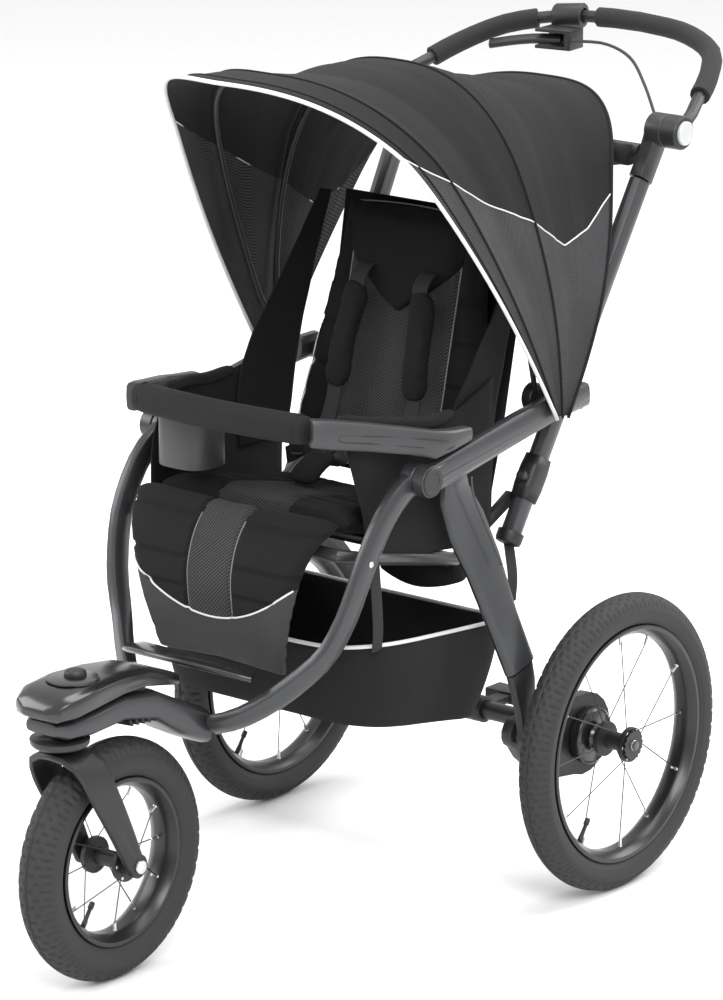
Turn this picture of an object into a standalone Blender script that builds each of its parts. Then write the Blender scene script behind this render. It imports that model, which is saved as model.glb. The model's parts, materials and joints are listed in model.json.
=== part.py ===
"""Three-wheel jogging stroller, built from its separate pieces.

Metres, +Z up. The child faces -Y, so the front wheel is at -Y and the push bar at +Y. +X is the child's left.
The origin is the middle of the stroller's footprint, on the ground. Each moving body hangs from an empty that
stands on its joint's axis.
"""

from math import cos, pi, radians, sin

import bmesh
import bpy
from mathutils import Vector

# Driving dimensions: axles, axes and the layers that keep moving pieces apart. Points are drawn from a reference
# between the wheels, and FOOTPRINT_SHIFT then centres the whole stroller on the origin.
FOOTPRINT_SHIFT = Vector((0.0, -0.0713, 0.0))
FRONT_AXLE = Vector((0.0, -0.397, 0.157))
REAR_AXLE = Vector((0.0, 0.277, 0.200))
FRONT_RADIUS = 0.157
REAR_RADIUS = 0.200
FRONT_TYRE = 0.028
REAR_TYRE = 0.0235
REAR_TRACK = 0.588
TRAIL = 0.090
SWIVEL_AXIS = Vector((0.0, FRONT_AXLE.y - TRAIL, 0.330))
FRONT_FOLD_AXIS = Vector((0.0, -0.045, 0.612))
REAR_FOLD_AXIS = Vector((0.0, 0.030, 0.610))
SUSPENSION_AXIS = Vector((0.0, 0.134, 0.236))
HANDLE_AXIS = Vector((0.0, 0.455, 0.982))
RECLINE_AXIS = Vector((0.0, 0.150, 0.520))
CANOPY_AXIS = Vector((0.0, 0.205, 0.668))
BRAKE_AXIS = Vector((-0.080, 0.640, 1.046))
BAR_NORMAL = Vector((0.0, -0.36, 0.933))
LEG_TOP_X = 0.207
LEG_HALF = 0.0095
SHIN_X = 0.2535
HANDLE_TUBE_HALF = 0.0115
ARMREST_X = 0.2268
ARMREST_HALF = 0.0090
CANOPY_HALF = 0.233
SEAT_HALF = 0.165
JOINT_X = 0.2475
BAR_RADIUS = 0.0085
GRIP_RADIUS = 0.0138
ARCH_POWER = 0.80
SIDE_LEAN = 0.22
HUB_TUCK = 0.0165
GAP = 0.0004
X = Vector((1, 0, 0))
Y = Vector((0, 1, 0))
Z = Vector((0, 0, 1))
SIDES = (("left", 1), ("right", -1))

COLOURS = {
    "charcoal": ((0.075, 0.076, 0.080), 0.38, 0.55),
    "black_plastic": ((0.016, 0.016, 0.017), 0.45, 0.0),
    "gloss_black": ((0.008, 0.008, 0.009), 0.15, 0.0),
    "grey_plastic": ((0.085, 0.086, 0.090), 0.45, 0.0),
    "rubber": ((0.030, 0.030, 0.031), 0.75, 0.0),
    "foam": ((0.018, 0.018, 0.019), 0.85, 0.0),
    "fabric": ((0.014, 0.014, 0.016), 0.90, 0.0),
    "silver": ((0.62, 0.63, 0.65), 0.28, 1.0),
}

# Each moving body: its parent body and the point that its joint turns about or slides from.
BODIES = {
    "root": (None, Vector((0, 0, 0))),
    "front_frame": ("root", FRONT_FOLD_AXIS),
    "swivel_lock": ("front_frame", SWIVEL_AXIS + Vector((0, 0.030, 0.082))),
    "fork": ("front_frame", SWIVEL_AXIS),
    "front_wheel": ("fork", FRONT_AXLE),
    "rear_frame": ("root", REAR_FOLD_AXIS),
    "suspension": ("rear_frame", SUSPENSION_AXIS),
    "rear_wheel_left": ("suspension", REAR_AXLE + X * REAR_TRACK / 2),
    "rear_wheel_right": ("suspension", REAR_AXLE - X * REAR_TRACK / 2),
    "brake_pedal": ("suspension", REAR_AXLE),
    "handle": ("root", HANDLE_AXIS),
    "handle_button_left": ("handle", HANDLE_AXIS + X * JOINT_X),
    "handle_button_right": ("handle", HANDLE_AXIS - X * JOINT_X),
    "brake_lever": ("handle", BRAKE_AXIS),
    "seat_back": ("root", RECLINE_AXIS),
    "buckle_button": ("root", Vector((0, 0.050, 0.600))),
    "canopy_mid": ("root", CANOPY_AXIS),
    "canopy_front": ("canopy_mid", CANOPY_AXIS),
}


def clear_scene():
    for old in list(bpy.data.objects):
        bpy.data.objects.remove(old)


def make_materials():
    made = {}
    for name, (colour, roughness, metallic) in COLOURS.items():
        material = bpy.data.materials.new(name)
        material.use_nodes = True
        shader = material.node_tree.nodes["Principled BSDF"]
        shader.inputs["Base Color"].default_value = (*colour, 1.0)
        shader.inputs["Roughness"].default_value = roughness
        shader.inputs["Metallic"].default_value = metallic
        material.diffuse_color = (*colour, 1.0)
        made[name] = material
    return made


def make_bodies():
    made = {}
    for name, (parent, place) in BODIES.items():
        empty = bpy.data.objects.new("body_" + name, None)
        bpy.context.scene.collection.objects.link(empty)
        empty.empty_display_size = 0.03
        if parent:
            empty.parent = made[parent]
            place = place - BODIES[parent][1]
        else:
            place = FOOTPRINT_SHIFT
        empty.location = place
        made[name] = empty
    return made


def keep(bm, name, body, colour, angle=40):
    """Turns a bmesh into a named object of a body, with its origin on the body's axis."""
    bmesh.ops.recalc_face_normals(bm, faces=bm.faces)
    bmesh.ops.translate(bm, verts=bm.verts, vec=-BODIES[body][1])
    mesh = bpy.data.meshes.new(name)
    bm.to_mesh(mesh)
    bm.free()
    mesh.materials.append(MATERIALS[colour])
    mesh.shade_smooth()
    mesh.set_sharp_from_angle(angle=radians(angle))
    obj = bpy.data.objects.new(name, mesh)
    obj.parent = EMPTIES[body]
    bpy.context.scene.collection.objects.link(obj)
    return obj


def combine(obj, bm, operation, name):
    """Adds or cuts a helper shape with an exact Boolean."""
    bmesh.ops.recalc_face_normals(bm, faces=bm.faces)
    mesh = bpy.data.meshes.new(name)
    bm.to_mesh(mesh)
    bm.free()
    helper = bpy.data.objects.new(name, mesh)
    helper.parent = EMPTIES["root"]
    helper.hide_render = True
    helper.display_type = "WIRE"
    bpy.context.scene.collection.objects.link(helper)
    modifier = obj.modifiers.new(operation.lower(), "BOOLEAN")
    modifier.operation = operation
    modifier.solver = "EXACT"
    modifier.object = helper
    return modifier


# ---- shapes ----


def smooth_path(points, count):
    """A Catmull-Rom curve through the points, resampled at equal steps."""
    points = [Vector(p) for p in points]
    ends = [2 * points[0] - points[1], *points, 2 * points[-1] - points[-2]]
    dense = []
    for a, b, c, d in zip(ends, ends[1:], ends[2:], ends[3:]):
        for step in range(24):
            t = step / 24
            curve = 2 * b + (c - a) * t + (2 * a - 5 * b + 4 * c - d) * t * t + (3 * b - a - 3 * c + d) * t ** 3
            dense.append(curve / 2)
    dense.append(points[-1])
    along = [0.0]
    for a, b in zip(dense, dense[1:]):
        along.append(along[-1] + (b - a).length)
    found = []
    index = 0
    for step in range(count):
        goal = along[-1] * step / (count - 1)
        while index < len(dense) - 2 and along[index + 1] < goal:
            index += 1
        share = (goal - along[index]) / (along[index + 1] - along[index])
        found.append(dense[index].lerp(dense[index + 1], min(max(share, 0.0), 1.0)))
    return found


def oval(half_u, half_v, count=12):
    return [(half_u * cos(2 * pi * i / count), half_v * sin(2 * pi * i / count)) for i in range(count)]


def squircle(half_u, half_v, count=12, power=0.55):
    """A rounded rectangle as a superellipse."""
    found = []
    for u, v in oval(1, 1, count):
        found.append((half_u * abs(u) ** power * (u > 0 or -1), half_v * abs(v) ** power * (v > 0 or -1)))
    return found


def loft(loops):
    """One closed body through loops of equal length."""
    bm = bmesh.new()
    rings = [[bm.verts.new(p) for p in loop] for loop in loops]
    for a, b in zip(rings, rings[1:]):
        for i in range(len(a)):
            j = (i + 1) % len(a)
            bm.faces.new((a[i], a[j], b[j], b[i]))
    bm.faces.new(rings[0])
    bm.faces.new(rings[-1])
    return bm


def sweep(path, sections, side=X):
    """Sweeps one section, or one per station, along a path. A section's u runs along side, v across it."""
    if not isinstance(sections[0][0], tuple):
        sections = [sections] * len(path)
    loops = []
    for i, (place, section) in enumerate(zip(path, sections)):
        tangent = (path[min(i + 1, len(path) - 1)] - path[max(i - 1, 0)]).normalized()
        across = (side - tangent * side.dot(tangent)).normalized()
        normal = tangent.cross(across)
        loops.append([place + across * u + normal * v for u, v in section])
    return loft(loops)


def turned(profile, centre, axis=X, count=32):
    """Turns a closed (along, radius) profile about an axis. Points on the axis become single vertices."""
    across = Z if abs(axis.z) < 0.9 else X
    other = axis.cross(across)
    bm = bmesh.new()
    columns = []
    for along, radius in profile:
        if radius < 1e-6:
            columns.append([bm.verts.new(centre + axis * along)] * count)
            continue
        column = []
        for i in range(count):
            angle = 2 * pi * i / count
            column.append(bm.verts.new(centre + axis * along + (across * cos(angle) + other * sin(angle)) * radius))
        columns.append(column)
    closed_ring = all(radius > 1e-6 for _, radius in profile)
    last = len(columns) if closed_ring else len(columns) - 1
    for i in range(last):
        a, b = columns[i], columns[(i + 1) % len(columns)]
        for j in range(count):
            k = (j + 1) % count
            corners = []
            for corner in (a[j], a[k], b[k], b[j]):
                if corner not in corners:
                    corners.append(corner)
            if len(corners) > 2:
                bm.faces.new(corners)
    return bm


def disc_profile(low, high, radius, chamfer=0.001):
    return [(low, 0), (low, radius - chamfer), (low + chamfer, radius),
            (high - chamfer, radius), (high, radius - chamfer), (high, 0)]


def slab(outline, low, high, axis="X"):
    """A flat plate: an outline in the plane across the axis, with its two faces at low and high along it."""
    def at(p, depth):
        if axis == "X":
            return Vector((depth, *p))
        if axis == "Y":
            return Vector((p[0], depth, p[1]))
        return Vector((*p, depth))
    return loft([[at(p, low) for p in outline], [at(p, high) for p in outline]])


def block(low, high):
    return slab([(low[0], low[1]), (high[0], low[1]), (high[0], high[1]), (low[0], high[1])], low[2], high[2], "Z")


def arc_points(centre, radius, start, end, count):
    found = []
    for i in range(count):
        angle = radians(start + (end - start) * i / (count - 1))
        found.append((centre[0] + radius * cos(angle), centre[1] + radius * sin(angle)))
    return found


def mirrored(points, sign):
    return [Vector((p[0] * sign, p[1], p[2])) for p in points]


def side_point(x, yz, sign=1):
    return Vector((x * sign, yz[0], yz[1]))


# ---- wheels ----


def tyre(name, body, centre, radius, section):
    """A round-shouldered tyre whose inner face sits on the rim."""
    middle = radius - section
    profile = []
    for i in range(9):
        angle = radians(-135 + 270 * i / 8)
        profile.append((section * sin(angle), middle + section * cos(angle)))
    keep(turned(profile, centre, X, 36), name, body, "rubber", 60)


def rim(name, body, centre, radius, section):
    """A box-section rim: flat bed under the tyre, sloping cheeks and a raised spoke bed."""
    bed = radius - section - section * cos(radians(45)) - GAP
    half = section * 0.80
    profile = [(-half, bed), (half, bed), (half, bed - 0.006), (half * 0.45, bed - 0.014),
               (-half * 0.45, bed - 0.014), (-half, bed - 0.006)]
    keep(turned(profile, centre, X, 36), name, body, "black_plastic", 30)
    return bed - 0.014


def spoked_hub(name, body, centre, rim_inner, flange_x, flange_radius, bore, barrel, spokes):
    """A flanged hub turned about X with crossed wire spokes, all one body."""
    half = flange_x + 0.005
    profile = [(-half, bore), (-half, barrel + 0.004), (-flange_x - 0.003, barrel + 0.004),
               (-flange_x - 0.003, flange_radius), (-flange_x + 0.003, flange_radius),
               (-flange_x + 0.007, barrel), (flange_x - 0.007, barrel),
               (flange_x - 0.003, flange_radius), (flange_x + 0.003, flange_radius),
               (flange_x + 0.003, barrel + 0.004), (half, barrel + 0.004), (half, bore)]
    hub = keep(turned(profile, centre, X, 20), name, body, "black_plastic", 40)
    wires = bmesh.new()
    for i in range(spokes):
        sign = 1 if i % 2 else -1
        cross = 1 if (i // 2) % 2 else -1
        angle = 2 * pi * i / spokes + 0.02
        start = angle + radians(26) * cross
        layer = 0.0013 * cross
        reach = flange_radius - 0.004
        root = Vector((flange_x * sign + layer, cos(start) * reach, sin(start) * reach))
        reach = rim_inner - GAP
        tip = Vector((0.004 * sign + layer, cos(angle) * reach, sin(angle) * reach))
        piece = sweep([centre + root, centre + tip], oval(0.0009, 0.0009, 4))
        copy = bpy.data.meshes.new("wire")
        piece.to_mesh(copy)
        piece.free()
        wires.from_mesh(copy)
        bpy.data.meshes.remove(copy)
    combine(hub, wires, "UNION", name + "_wires")


def front_wheel():
    tyre("front_tyre", "front_wheel", FRONT_AXLE, FRONT_RADIUS, FRONT_TYRE)
    inner = rim("front_rim", "front_wheel", FRONT_AXLE, FRONT_RADIUS, FRONT_TYRE)
    spoked_hub("front_hub", "front_wheel", FRONT_AXLE, inner, 0.026, 0.024, 0.0062, 0.011, 12)


def rear_wheels():
    for side, sign in SIDES:
        centre = REAR_AXLE + X * sign * REAR_TRACK / 2
        body = "rear_wheel_" + side
        tyre("rear_tyre_" + side, body, centre, REAR_RADIUS, REAR_TYRE)
        inner = rim("rear_rim_" + side, body, centre, REAR_RADIUS, REAR_TYRE)
        spoked_hub("rear_hub_" + side, body, centre, inner, 0.020, 0.0235, 0.0072, 0.012, 12)


# ---- front frame ----

# The front leg's centre line, from its pivot down, forward and in to the arm.
LEG_LINE = ((LEG_TOP_X, -0.045, 0.612), (LEG_TOP_X, -0.078, 0.596), (0.206, -0.110, 0.566), (0.203, -0.138, 0.521),
            (0.197, -0.1535, 0.478), (0.187, -0.1665, 0.438), (0.167, -0.182, 0.396), (0.126, -0.220, 0.350),
            (0.085, -0.245, 0.321), (0.050, -0.256, 0.308))


def front_legs():
    for side, sign in SIDES:
        path = smooth_path(mirrored(LEG_LINE, sign), 20)
        leg = keep(sweep(path, squircle(LEG_HALF, 0.0160)), "front_leg_" + side, "front_frame", "charcoal", 35)
        pivot = side_point(LEG_TOP_X, FRONT_FOLD_AXIS.yz, sign)
        eye = turned(disc_profile(-LEG_HALF, LEG_HALF, 0.0205), pivot, X, 20)
        combine(leg, eye, "UNION", f"front_leg_{side}_eye")
        hole = turned(disc_profile(-0.02, 0.02, 0.0064, 0.0001), pivot, X, 16)
        combine(leg, hole, "DIFFERENCE", f"front_leg_{side}_hole")


def arm_section(y, half, low, high, power=0.5):
    """One cross-section of the arm, in the XZ plane."""
    return [Vector((u, y, (low + high) / 2 + v)) for u, v in squircle(half, (high - low) / 2, 16, power)]


def hub_arm():
    """The alloy beam that carries the front wheel, and the moulded cover over it."""
    stations = ((-0.520, 0.026, 0.352, 0.368), (-0.505, 0.036, 0.345, 0.370), (-0.462, 0.038, 0.341, 0.374),
                (-0.400, 0.034, 0.343, 0.378), (-0.340, 0.034, 0.330, 0.371), (-0.295, 0.040, 0.300, 0.348),
                (-0.252, 0.0465, 0.278, 0.328))
    loops = [arm_section(*station) for station in stations]
    keep(loft(loops), "hub_arm", "front_frame", "charcoal", 40)
    cover = ((-0.532, 0.022, 0.376, 0.388), (-0.525, 0.038, 0.3715, 0.397), (-0.503, 0.047, 0.3715, 0.407),
             (-0.462, 0.047, 0.376, 0.411), (-0.410, 0.042, 0.380, 0.411), (-0.360, 0.039, 0.379, 0.405),
             (-0.325, 0.036, 0.3715, 0.394), (-0.300, 0.034, 0.366, 0.384))
    loops = [arm_section(*station) for station in cover]
    keep(loft(loops), "arm_cover", "front_frame", "gloss_black", 40)
    cup = [(0.0, 0.012), (0.0, 0.034), (0.003, 0.037), (0.010, 0.038), (0.010, 0.012)]
    keep(turned([(a, r) for a, r in cup], SWIVEL_AXIS, Z, 32), "swivel_cup", "front_frame", "charcoal", 40)
    footrest = []
    for i in range(13):
        share = -1 + 2 * i / 12
        bow = 0.030 * (1 - share * share)
        place = Vector((0.100 * share, -0.234 - bow, 0.3775 + 0.4 * bow))
        footrest.append(place)
    keep(sweep(footrest, squircle(0.0175, 0.0045), side=Y), "footrest_bar", "front_frame", "gloss_black", 35)


def swivel_lock():
    """The knob on the arm's cover that pins the front wheel straight."""
    base = BODIES["swivel_lock"][1]
    profile = [(0.0, 0), (0.0, 0.0145), (0.006, 0.0135), (0.008, 0.011), (0.008, 0)]
    keep(turned(profile, base, Z, 24), "swivel_lock_knob", "swivel_lock", "black_plastic")


def fork():
    """A broad moulded fork: a domed crown over the tyre and two flat blades that trail to the axle."""
    blade_x = 0.044
    half = 0.0058
    crown = SWIVEL_AXIS + Vector((0, 0.004, -0.012))
    line = []
    for sign in (1, -1):
        stretch = [Vector((sign * blade_x, FRONT_AXLE.y, FRONT_AXLE.z - 0.004)),
                   Vector((sign * blade_x, FRONT_AXLE.y - 0.030, FRONT_AXLE.z + 0.056)),
                   Vector((sign * blade_x, FRONT_AXLE.y - 0.062, FRONT_AXLE.z + 0.114)),
                   Vector((sign * (blade_x - 0.006), crown.y + 0.010, crown.z - 0.016)),
                   Vector((sign * (blade_x - 0.024), crown.y + 0.002, crown.z - 0.001))]
        line.append(stretch)
    path = smooth_path(line[0] + line[1][::-1], 27)
    sections = []
    for place in path:
        height = (place.z - FRONT_AXLE.z) / (crown.z - FRONT_AXLE.z)
        width = 0.0145 + 0.0125 * min(max(height, 0), 1)
        sections.append(squircle(width, half, 12, 0.6))
    loops = []
    for i, (place, section) in enumerate(zip(path, sections)):
        tangent = (path[min(i + 1, len(path) - 1)] - path[max(i - 1, 0)]).normalized()
        across = (Y - tangent * Y.dot(tangent)).normalized()
        normal = tangent.cross(across)
        loops.append([place + across * u + normal * v for u, v in section])
    piece = keep(loft(loops), "fork", "fork", "black_plastic", 40)
    for side, sign in SIDES:
        pad = turned(disc_profile(-half, half, 0.0155, 0.0015), FRONT_AXLE + X * blade_x * sign, X, 20)
        combine(piece, pad, "UNION", f"fork_{side}_pad")
    stem = turned(disc_profile(0, 0.0242, 0.0110, 0.0005), SWIVEL_AXIS + Z * -0.014, Z, 20)
    combine(piece, stem, "UNION", "fork_stem")
    bore = turned(disc_profile(-0.06, 0.06, 0.0064, 0.0001), FRONT_AXLE, X, 20)
    combine(piece, bore, "DIFFERENCE", "fork_bore")
    axle = [(-0.0535, 0), (-0.0535, 0.0085), (-0.0502, 0.0095), (-0.0502, 0.0058), (0.0502, 0.0058),
            (0.0502, 0.0095), (0.0535, 0.0085), (0.0535, 0)]
    keep(turned(axle, FRONT_AXLE, X, 20), "front_axle_bolt", "fork", "silver", 30)


# ---- rear frame ----


def rear_legs():
    """Each leg flares out from its pivot. A moulded shin carries on from it to the swing arm."""
    line = ((LEG_TOP_X, 0.030, 0.610, 0.022), (LEG_TOP_X, 0.034, 0.575, 0.028), (0.210, 0.056, 0.530, 0.035),
            (0.220, 0.079, 0.475, 0.032), (0.239, 0.096, 0.400, 0.027), (SHIN_X, 0.1155, 0.334, 0.0260))
    shin_line = ((0.1160, 0.3320, 0.0240), (0.1230, 0.310, 0.0225), (0.130, 0.270, 0.0165), (0.1340, 0.236, 0.0145))
    for side, sign in SIDES:
        path = [side_point(x, (y, z), sign) for x, y, z, _ in line]
        sections = [squircle(LEG_HALF, half, 12, 0.6) for _, _, _, half in line]
        leg = keep(sweep(path, sections), "rear_leg_" + side, "rear_frame", "charcoal", 30)
        pivot = side_point(LEG_TOP_X, REAR_FOLD_AXIS.yz, sign)
        eye = turned(disc_profile(-LEG_HALF, LEG_HALF, 0.0225), pivot, X, 20)
        combine(leg, eye, "UNION", f"rear_leg_{side}_eye")
        hole = turned(disc_profile(-0.02, 0.02, 0.0064, 0.0001), pivot, X, 16)
        combine(leg, hole, "DIFFERENCE", f"rear_leg_{side}_hole")
        half_width = LEG_HALF - 0.0015
        path = [side_point(SHIN_X - 0.001, (y, z), sign) for y, z, _ in shin_line]
        sections = [squircle(half_width, half, 12, 0.6) for _, _, half in shin_line]
        shin = keep(sweep(path, sections), "shin_" + side, "rear_frame", "black_plastic", 30)
        pivot = side_point(SHIN_X - 0.001, SUSPENSION_AXIS.yz, sign)
        eye = turned(disc_profile(-half_width, half_width, 0.0150), pivot, X, 20)
        combine(shin, eye, "UNION", f"shin_{side}_eye")
        hole = turned(disc_profile(-0.02, 0.02, 0.0064, 0.0001), pivot, X, 16)
        combine(shin, hole, "DIFFERENCE", f"shin_{side}_hole")


def suspension():
    """One swing arm: two plates inboard of the shins, joined by the axle tube, with a drum outboard on each side."""
    plate_low, plate_high = 0.2250, 0.2408
    hub = (REAR_AXLE.y, REAR_AXLE.z)
    outline = arc_points(hub, 0.056, 100, -115, 12)
    outline += [(0.190, 0.158), (0.140, 0.200)]
    outline += arc_points((SUSPENSION_AXIS.y, SUSPENSION_AXIS.z), 0.020, 250, 110, 6)
    outline += [(0.200, 0.262)]
    tube = turned(disc_profile(-plate_low - 0.004, plate_low + 0.004, 0.0125, 0.0005), REAR_AXLE, X, 16)
    swing_arm = keep(tube, "rear_swing_arm", "suspension", "grey_plastic", 30)
    for side, sign in SIDES:
        low, high = sorted((plate_low * sign, plate_high * sign))
        combine(swing_arm, slab(outline, low, high), "UNION", f"swing_arm_{side}_plate")
        centre = side_point(plate_high, SUSPENSION_AXIS.yz, sign)
        pin = turned([(a * sign, r) for a, r in disc_profile(-0.004, 0.0240, 0.0058, 0.0005)], centre, X, 16)
        combine(swing_arm, pin, "UNION", f"swing_arm_{side}_pin")
        centre = REAR_AXLE + X * sign * (plate_high + GAP)
        profile = [(0.0, 0), (0.0, 0.036), (0.002, 0.038), (0.0155, 0.038), (0.0185, 0.033), (0.0185, 0.017),
                   (0.0240, 0.014), (0.0240, 0.0066), (0.0830, 0.0066), (0.0830, 0)]
        drum = turned([(a * sign, r) for a, r in profile], centre, X, 28)
        keep(drum, "brake_drum_" + side, "suspension", "gloss_black", 35)


def brake_pedal():
    """A collar on the axle tube with a foot bar behind it."""
    collar_x = 0.060
    ring = [(-0.016, 0.0130), (-0.016, 0.0180), (0.016, 0.0180), (0.016, 0.0130)]
    pedal = keep(turned(ring, REAR_AXLE + X * collar_x, X, 20), "brake_pedal", "brake_pedal", "black_plastic")
    arm = block((collar_x - 0.011, REAR_AXLE.y + 0.0155, REAR_AXLE.z - 0.006),
                (collar_x + 0.011, REAR_AXLE.y + 0.070, REAR_AXLE.z + 0.004))
    combine(pedal, arm, "UNION", "pedal_arm")
    tread = block((collar_x - 0.032, REAR_AXLE.y + 0.060, REAR_AXLE.z - 0.009),
                  (collar_x + 0.032, REAR_AXLE.y + 0.092, REAR_AXLE.z + 0.007))
    combine(pedal, tread, "UNION", "pedal_tread")


# ---- upper frame ----

TUBE_LOW = Vector((0.1860, 0.1780, 0.4780))
TUBE_HIGH = Vector((0.2050, 0.4330, 0.9170))


def handle_tubes():
    for side, sign in SIDES:
        low = side_point(TUBE_LOW.x, TUBE_LOW.yz, sign)
        high = side_point(TUBE_HIGH.x, TUBE_HIGH.yz, sign)
        direction = (high - low).normalized()
        section = squircle(HANDLE_TUBE_HALF, 0.0150, 8, 0.75)
        tube = sweep([low, low.lerp(high, 0.33), low.lerp(high, 0.66), high - direction * 0.0014], section)
        keep(tube, "handle_tube_" + side, "root", "charcoal", 25)
        joint = side_point(0.2215, HANDLE_AXIS.yz, sign)
        path = smooth_path([high, high + direction * 0.020, side_point(0.2120, (0.4500, 0.9600), sign),
                            side_point(0.2150, HANDLE_AXIS.yz, sign)], 8)
        head = keep(sweep(path, squircle(0.0128, 0.0165, 12, 0.6)), "handle_head_" + side, "root", "black_plastic")
        drum = turned(disc_profile(-0.0130, 0.0130, 0.0225, 0.0015), joint, X, 24)
        combine(head, drum, "UNION", f"handle_head_{side}_drum")
    rear = [Vector((x, 0.4470, 0.9520)) for x in (-0.1945, -0.10, 0.0, 0.10, 0.1945)]
    keep(sweep(rear, oval(0.0095, 0.0095, 12), side=Y), "upper_crossbar", "root", "black_plastic")


def armrests():
    """Flat links from the handle tubes to the front legs, with pins that carry both pairs of legs."""
    line = ((-0.045, 0.612, 0.0190), (0.000, 0.620, 0.0200), (0.060, 0.6305, 0.0200), (0.140, 0.6445, 0.0200),
            (0.220, 0.6565, 0.0185), (0.2860, 0.6600, 0.0160))
    for side, sign in SIDES:
        path = [side_point(ARMREST_X, (y, z), sign) for y, z, _ in line]
        sections = [squircle(ARMREST_HALF, half, 12, 0.6) for _, _, half in line]
        link = keep(sweep(path, sections), "armrest_" + side, "root", "charcoal", 30)
        nose = side_point(ARMREST_X, FRONT_FOLD_AXIS.yz, sign)
        combine(link, turned(disc_profile(-ARMREST_HALF, ARMREST_HALF, 0.0205), nose, X, 24), "UNION",
                f"armrest_{side}_nose")
        for axis, tag in ((FRONT_FOLD_AXIS, "front"), (REAR_FOLD_AXIS, "rear")):
            centre = side_point(ARMREST_X - ARMREST_HALF, axis.yz, sign)
            profile = [(a * -sign, r) for a, r in disc_profile(-0.003, 0.0220, 0.0058, 0.0005)]
            combine(link, turned(profile, centre, X, 16), "UNION", f"armrest_{side}_{tag}_pin")
        place = TUBE_LOW.lerp(TUBE_HIGH, 0.3950)
        inner = place.x + HANDLE_TUBE_HALF + 0.0012
        profile = [(a * sign, r) for a, r in disc_profile(0, ARMREST_X - inner, 0.0115, 0.0005)]
        spacer = turned(profile, side_point(inner, place.yz, sign), X, 16)
        combine(link, spacer, "UNION", f"armrest_{side}_spacer")


def seat_frame():
    """One bent tube: two rails under the seat, joined across the front, with a cross tube at the rear."""
    points = [(0.176, 0.080, 0.4730), (0.176, 0.000, 0.4910), (0.176, -0.110, 0.5165), (0.1680, -0.136, 0.5225),
              (0.1450, -0.1420, 0.5240), (0.0, -0.1420, 0.5240)]
    path = smooth_path(points + [(-x, y, z) for x, y, z in points[-2::-1]], 28)
    frame = keep(sweep(path, oval(0.0090, 0.0090, 10), side=Z), "seat_frame", "root", "charcoal", 50)
    rear = [Vector((x, 0.0720, 0.4750)) for x in (-0.176, 0.0, 0.176)]
    combine(frame, sweep(rear, oval(0.0080, 0.0080, 10), side=Y), "UNION", "seat_frame_cross")
    for side, sign in SIDES:
        place = TUBE_LOW.lerp(TUBE_HIGH, 0.10)
        tab = slab([(0.060, 0.466), (0.086, 0.468), (place.y + 0.014, place.z + 0.006),
                    (place.y - 0.006, place.z + 0.016)],
                   *sorted((0.1665 * sign, (place.x - HANDLE_TUBE_HALF - 0.0012) * sign)))
        combine(frame, tab, "UNION", f"seat_frame_{side}_tab")


def pad(name, body, colour, stations, half, power=0.45):
    """A plain pad: rounded cross-sections in the YZ plane's path, each as wide as its station says."""
    path = [Vector((0, y, z)) for y, z, _, _ in stations]
    sections = [squircle(wide * half, thick, 16, power) for _, _, wide, thick in stations]
    return keep(sweep(path, sections), name, body, colour, 50)


def seat():
    pad("seat_cushion", "root", "fabric",
        ((0.126, 0.508, 1.00, 0.018), (0.060, 0.518, 1.0, 0.022), (-0.020, 0.538, 1.0, 0.022),
         (-0.100, 0.557, 1.0, 0.020), (-0.122, 0.561, 0.98, 0.014)), SEAT_HALF)
    pad("leg_rest", "root", "fabric",
        ((-0.1315, 0.5600, 0.98, 0.011), (-0.152, 0.553, 1.0, 0.016), (-0.176, 0.528, 1.0, 0.018),
         (-0.190, 0.490, 1.0, 0.017), (-0.190, 0.450, 0.98, 0.015), (-0.183, 0.405, 0.92, 0.013),
         (-0.174, 0.372, 0.78, 0.010), (-0.169, 0.360, 0.64, 0.006)), SEAT_HALF + 0.004)
    back = ((0.1655, 0.532), (0.196, 0.640), (0.222, 0.760), (0.2440, 0.8900))
    pad("backboard", "seat_back", "black_plastic",
        [(y + 0.0175, z - 0.004, 1.0, 0.0055) for y, z in back], SEAT_HALF - 0.012, 0.35)
    pad("back_cushion", "seat_back", "fabric",
        ((0.152, 0.546, 0.95, 0.010), (0.158, 0.570, 1.0, 0.0165), (0.177, 0.650, 1.0, 0.0175),
         (0.203, 0.770, 0.97, 0.0175), (0.219, 0.850, 0.90, 0.0165), (0.2275, 0.893, 0.74, 0.011)), SEAT_HALF)


def harness():
    for side, sign in SIDES:
        line = [Vector((0.052 * sign, 0.1800, 0.7960)), Vector((0.056 * sign, 0.1600, 0.7720)),
                Vector((0.062 * sign, 0.1430, 0.7100)), Vector((0.066 * sign, 0.1270, 0.6300))]
        line[0] = Vector((0.052 * sign, 0.1610, 0.7960))
        keep(sweep(smooth_path(line, 7), squircle(0.0210, 0.0068, 12, 0.5)), "shoulder_pad_" + side, "seat_back",
             "fabric", 50)
    centre = BODIES["buckle_button"][1]
    shell = [(u, v) for u, v in squircle(0.0300, 0.0230, 16, 0.6)]
    buckle = keep(loft([[Vector((u, centre.y - 0.0080 + v * 0.30, centre.z + v)) for u, v in shell],
                        [Vector((u, centre.y + 0.0060 + v * 0.30, centre.z + v)) for u, v in shell]]),
                  "buckle", "root", "black_plastic")
    well = turned(disc_profile(-0.006, 0.030, 0.0096, 0.0001), centre, -Y, 20)
    combine(buckle, well, "DIFFERENCE", "buckle_well")
    button = turned(disc_profile(-0.0015, 0.0110, 0.0090, 0.0015), centre, -Y, 20)
    keep(button, "buckle_button", "buckle_button", "grey_plastic")


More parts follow.
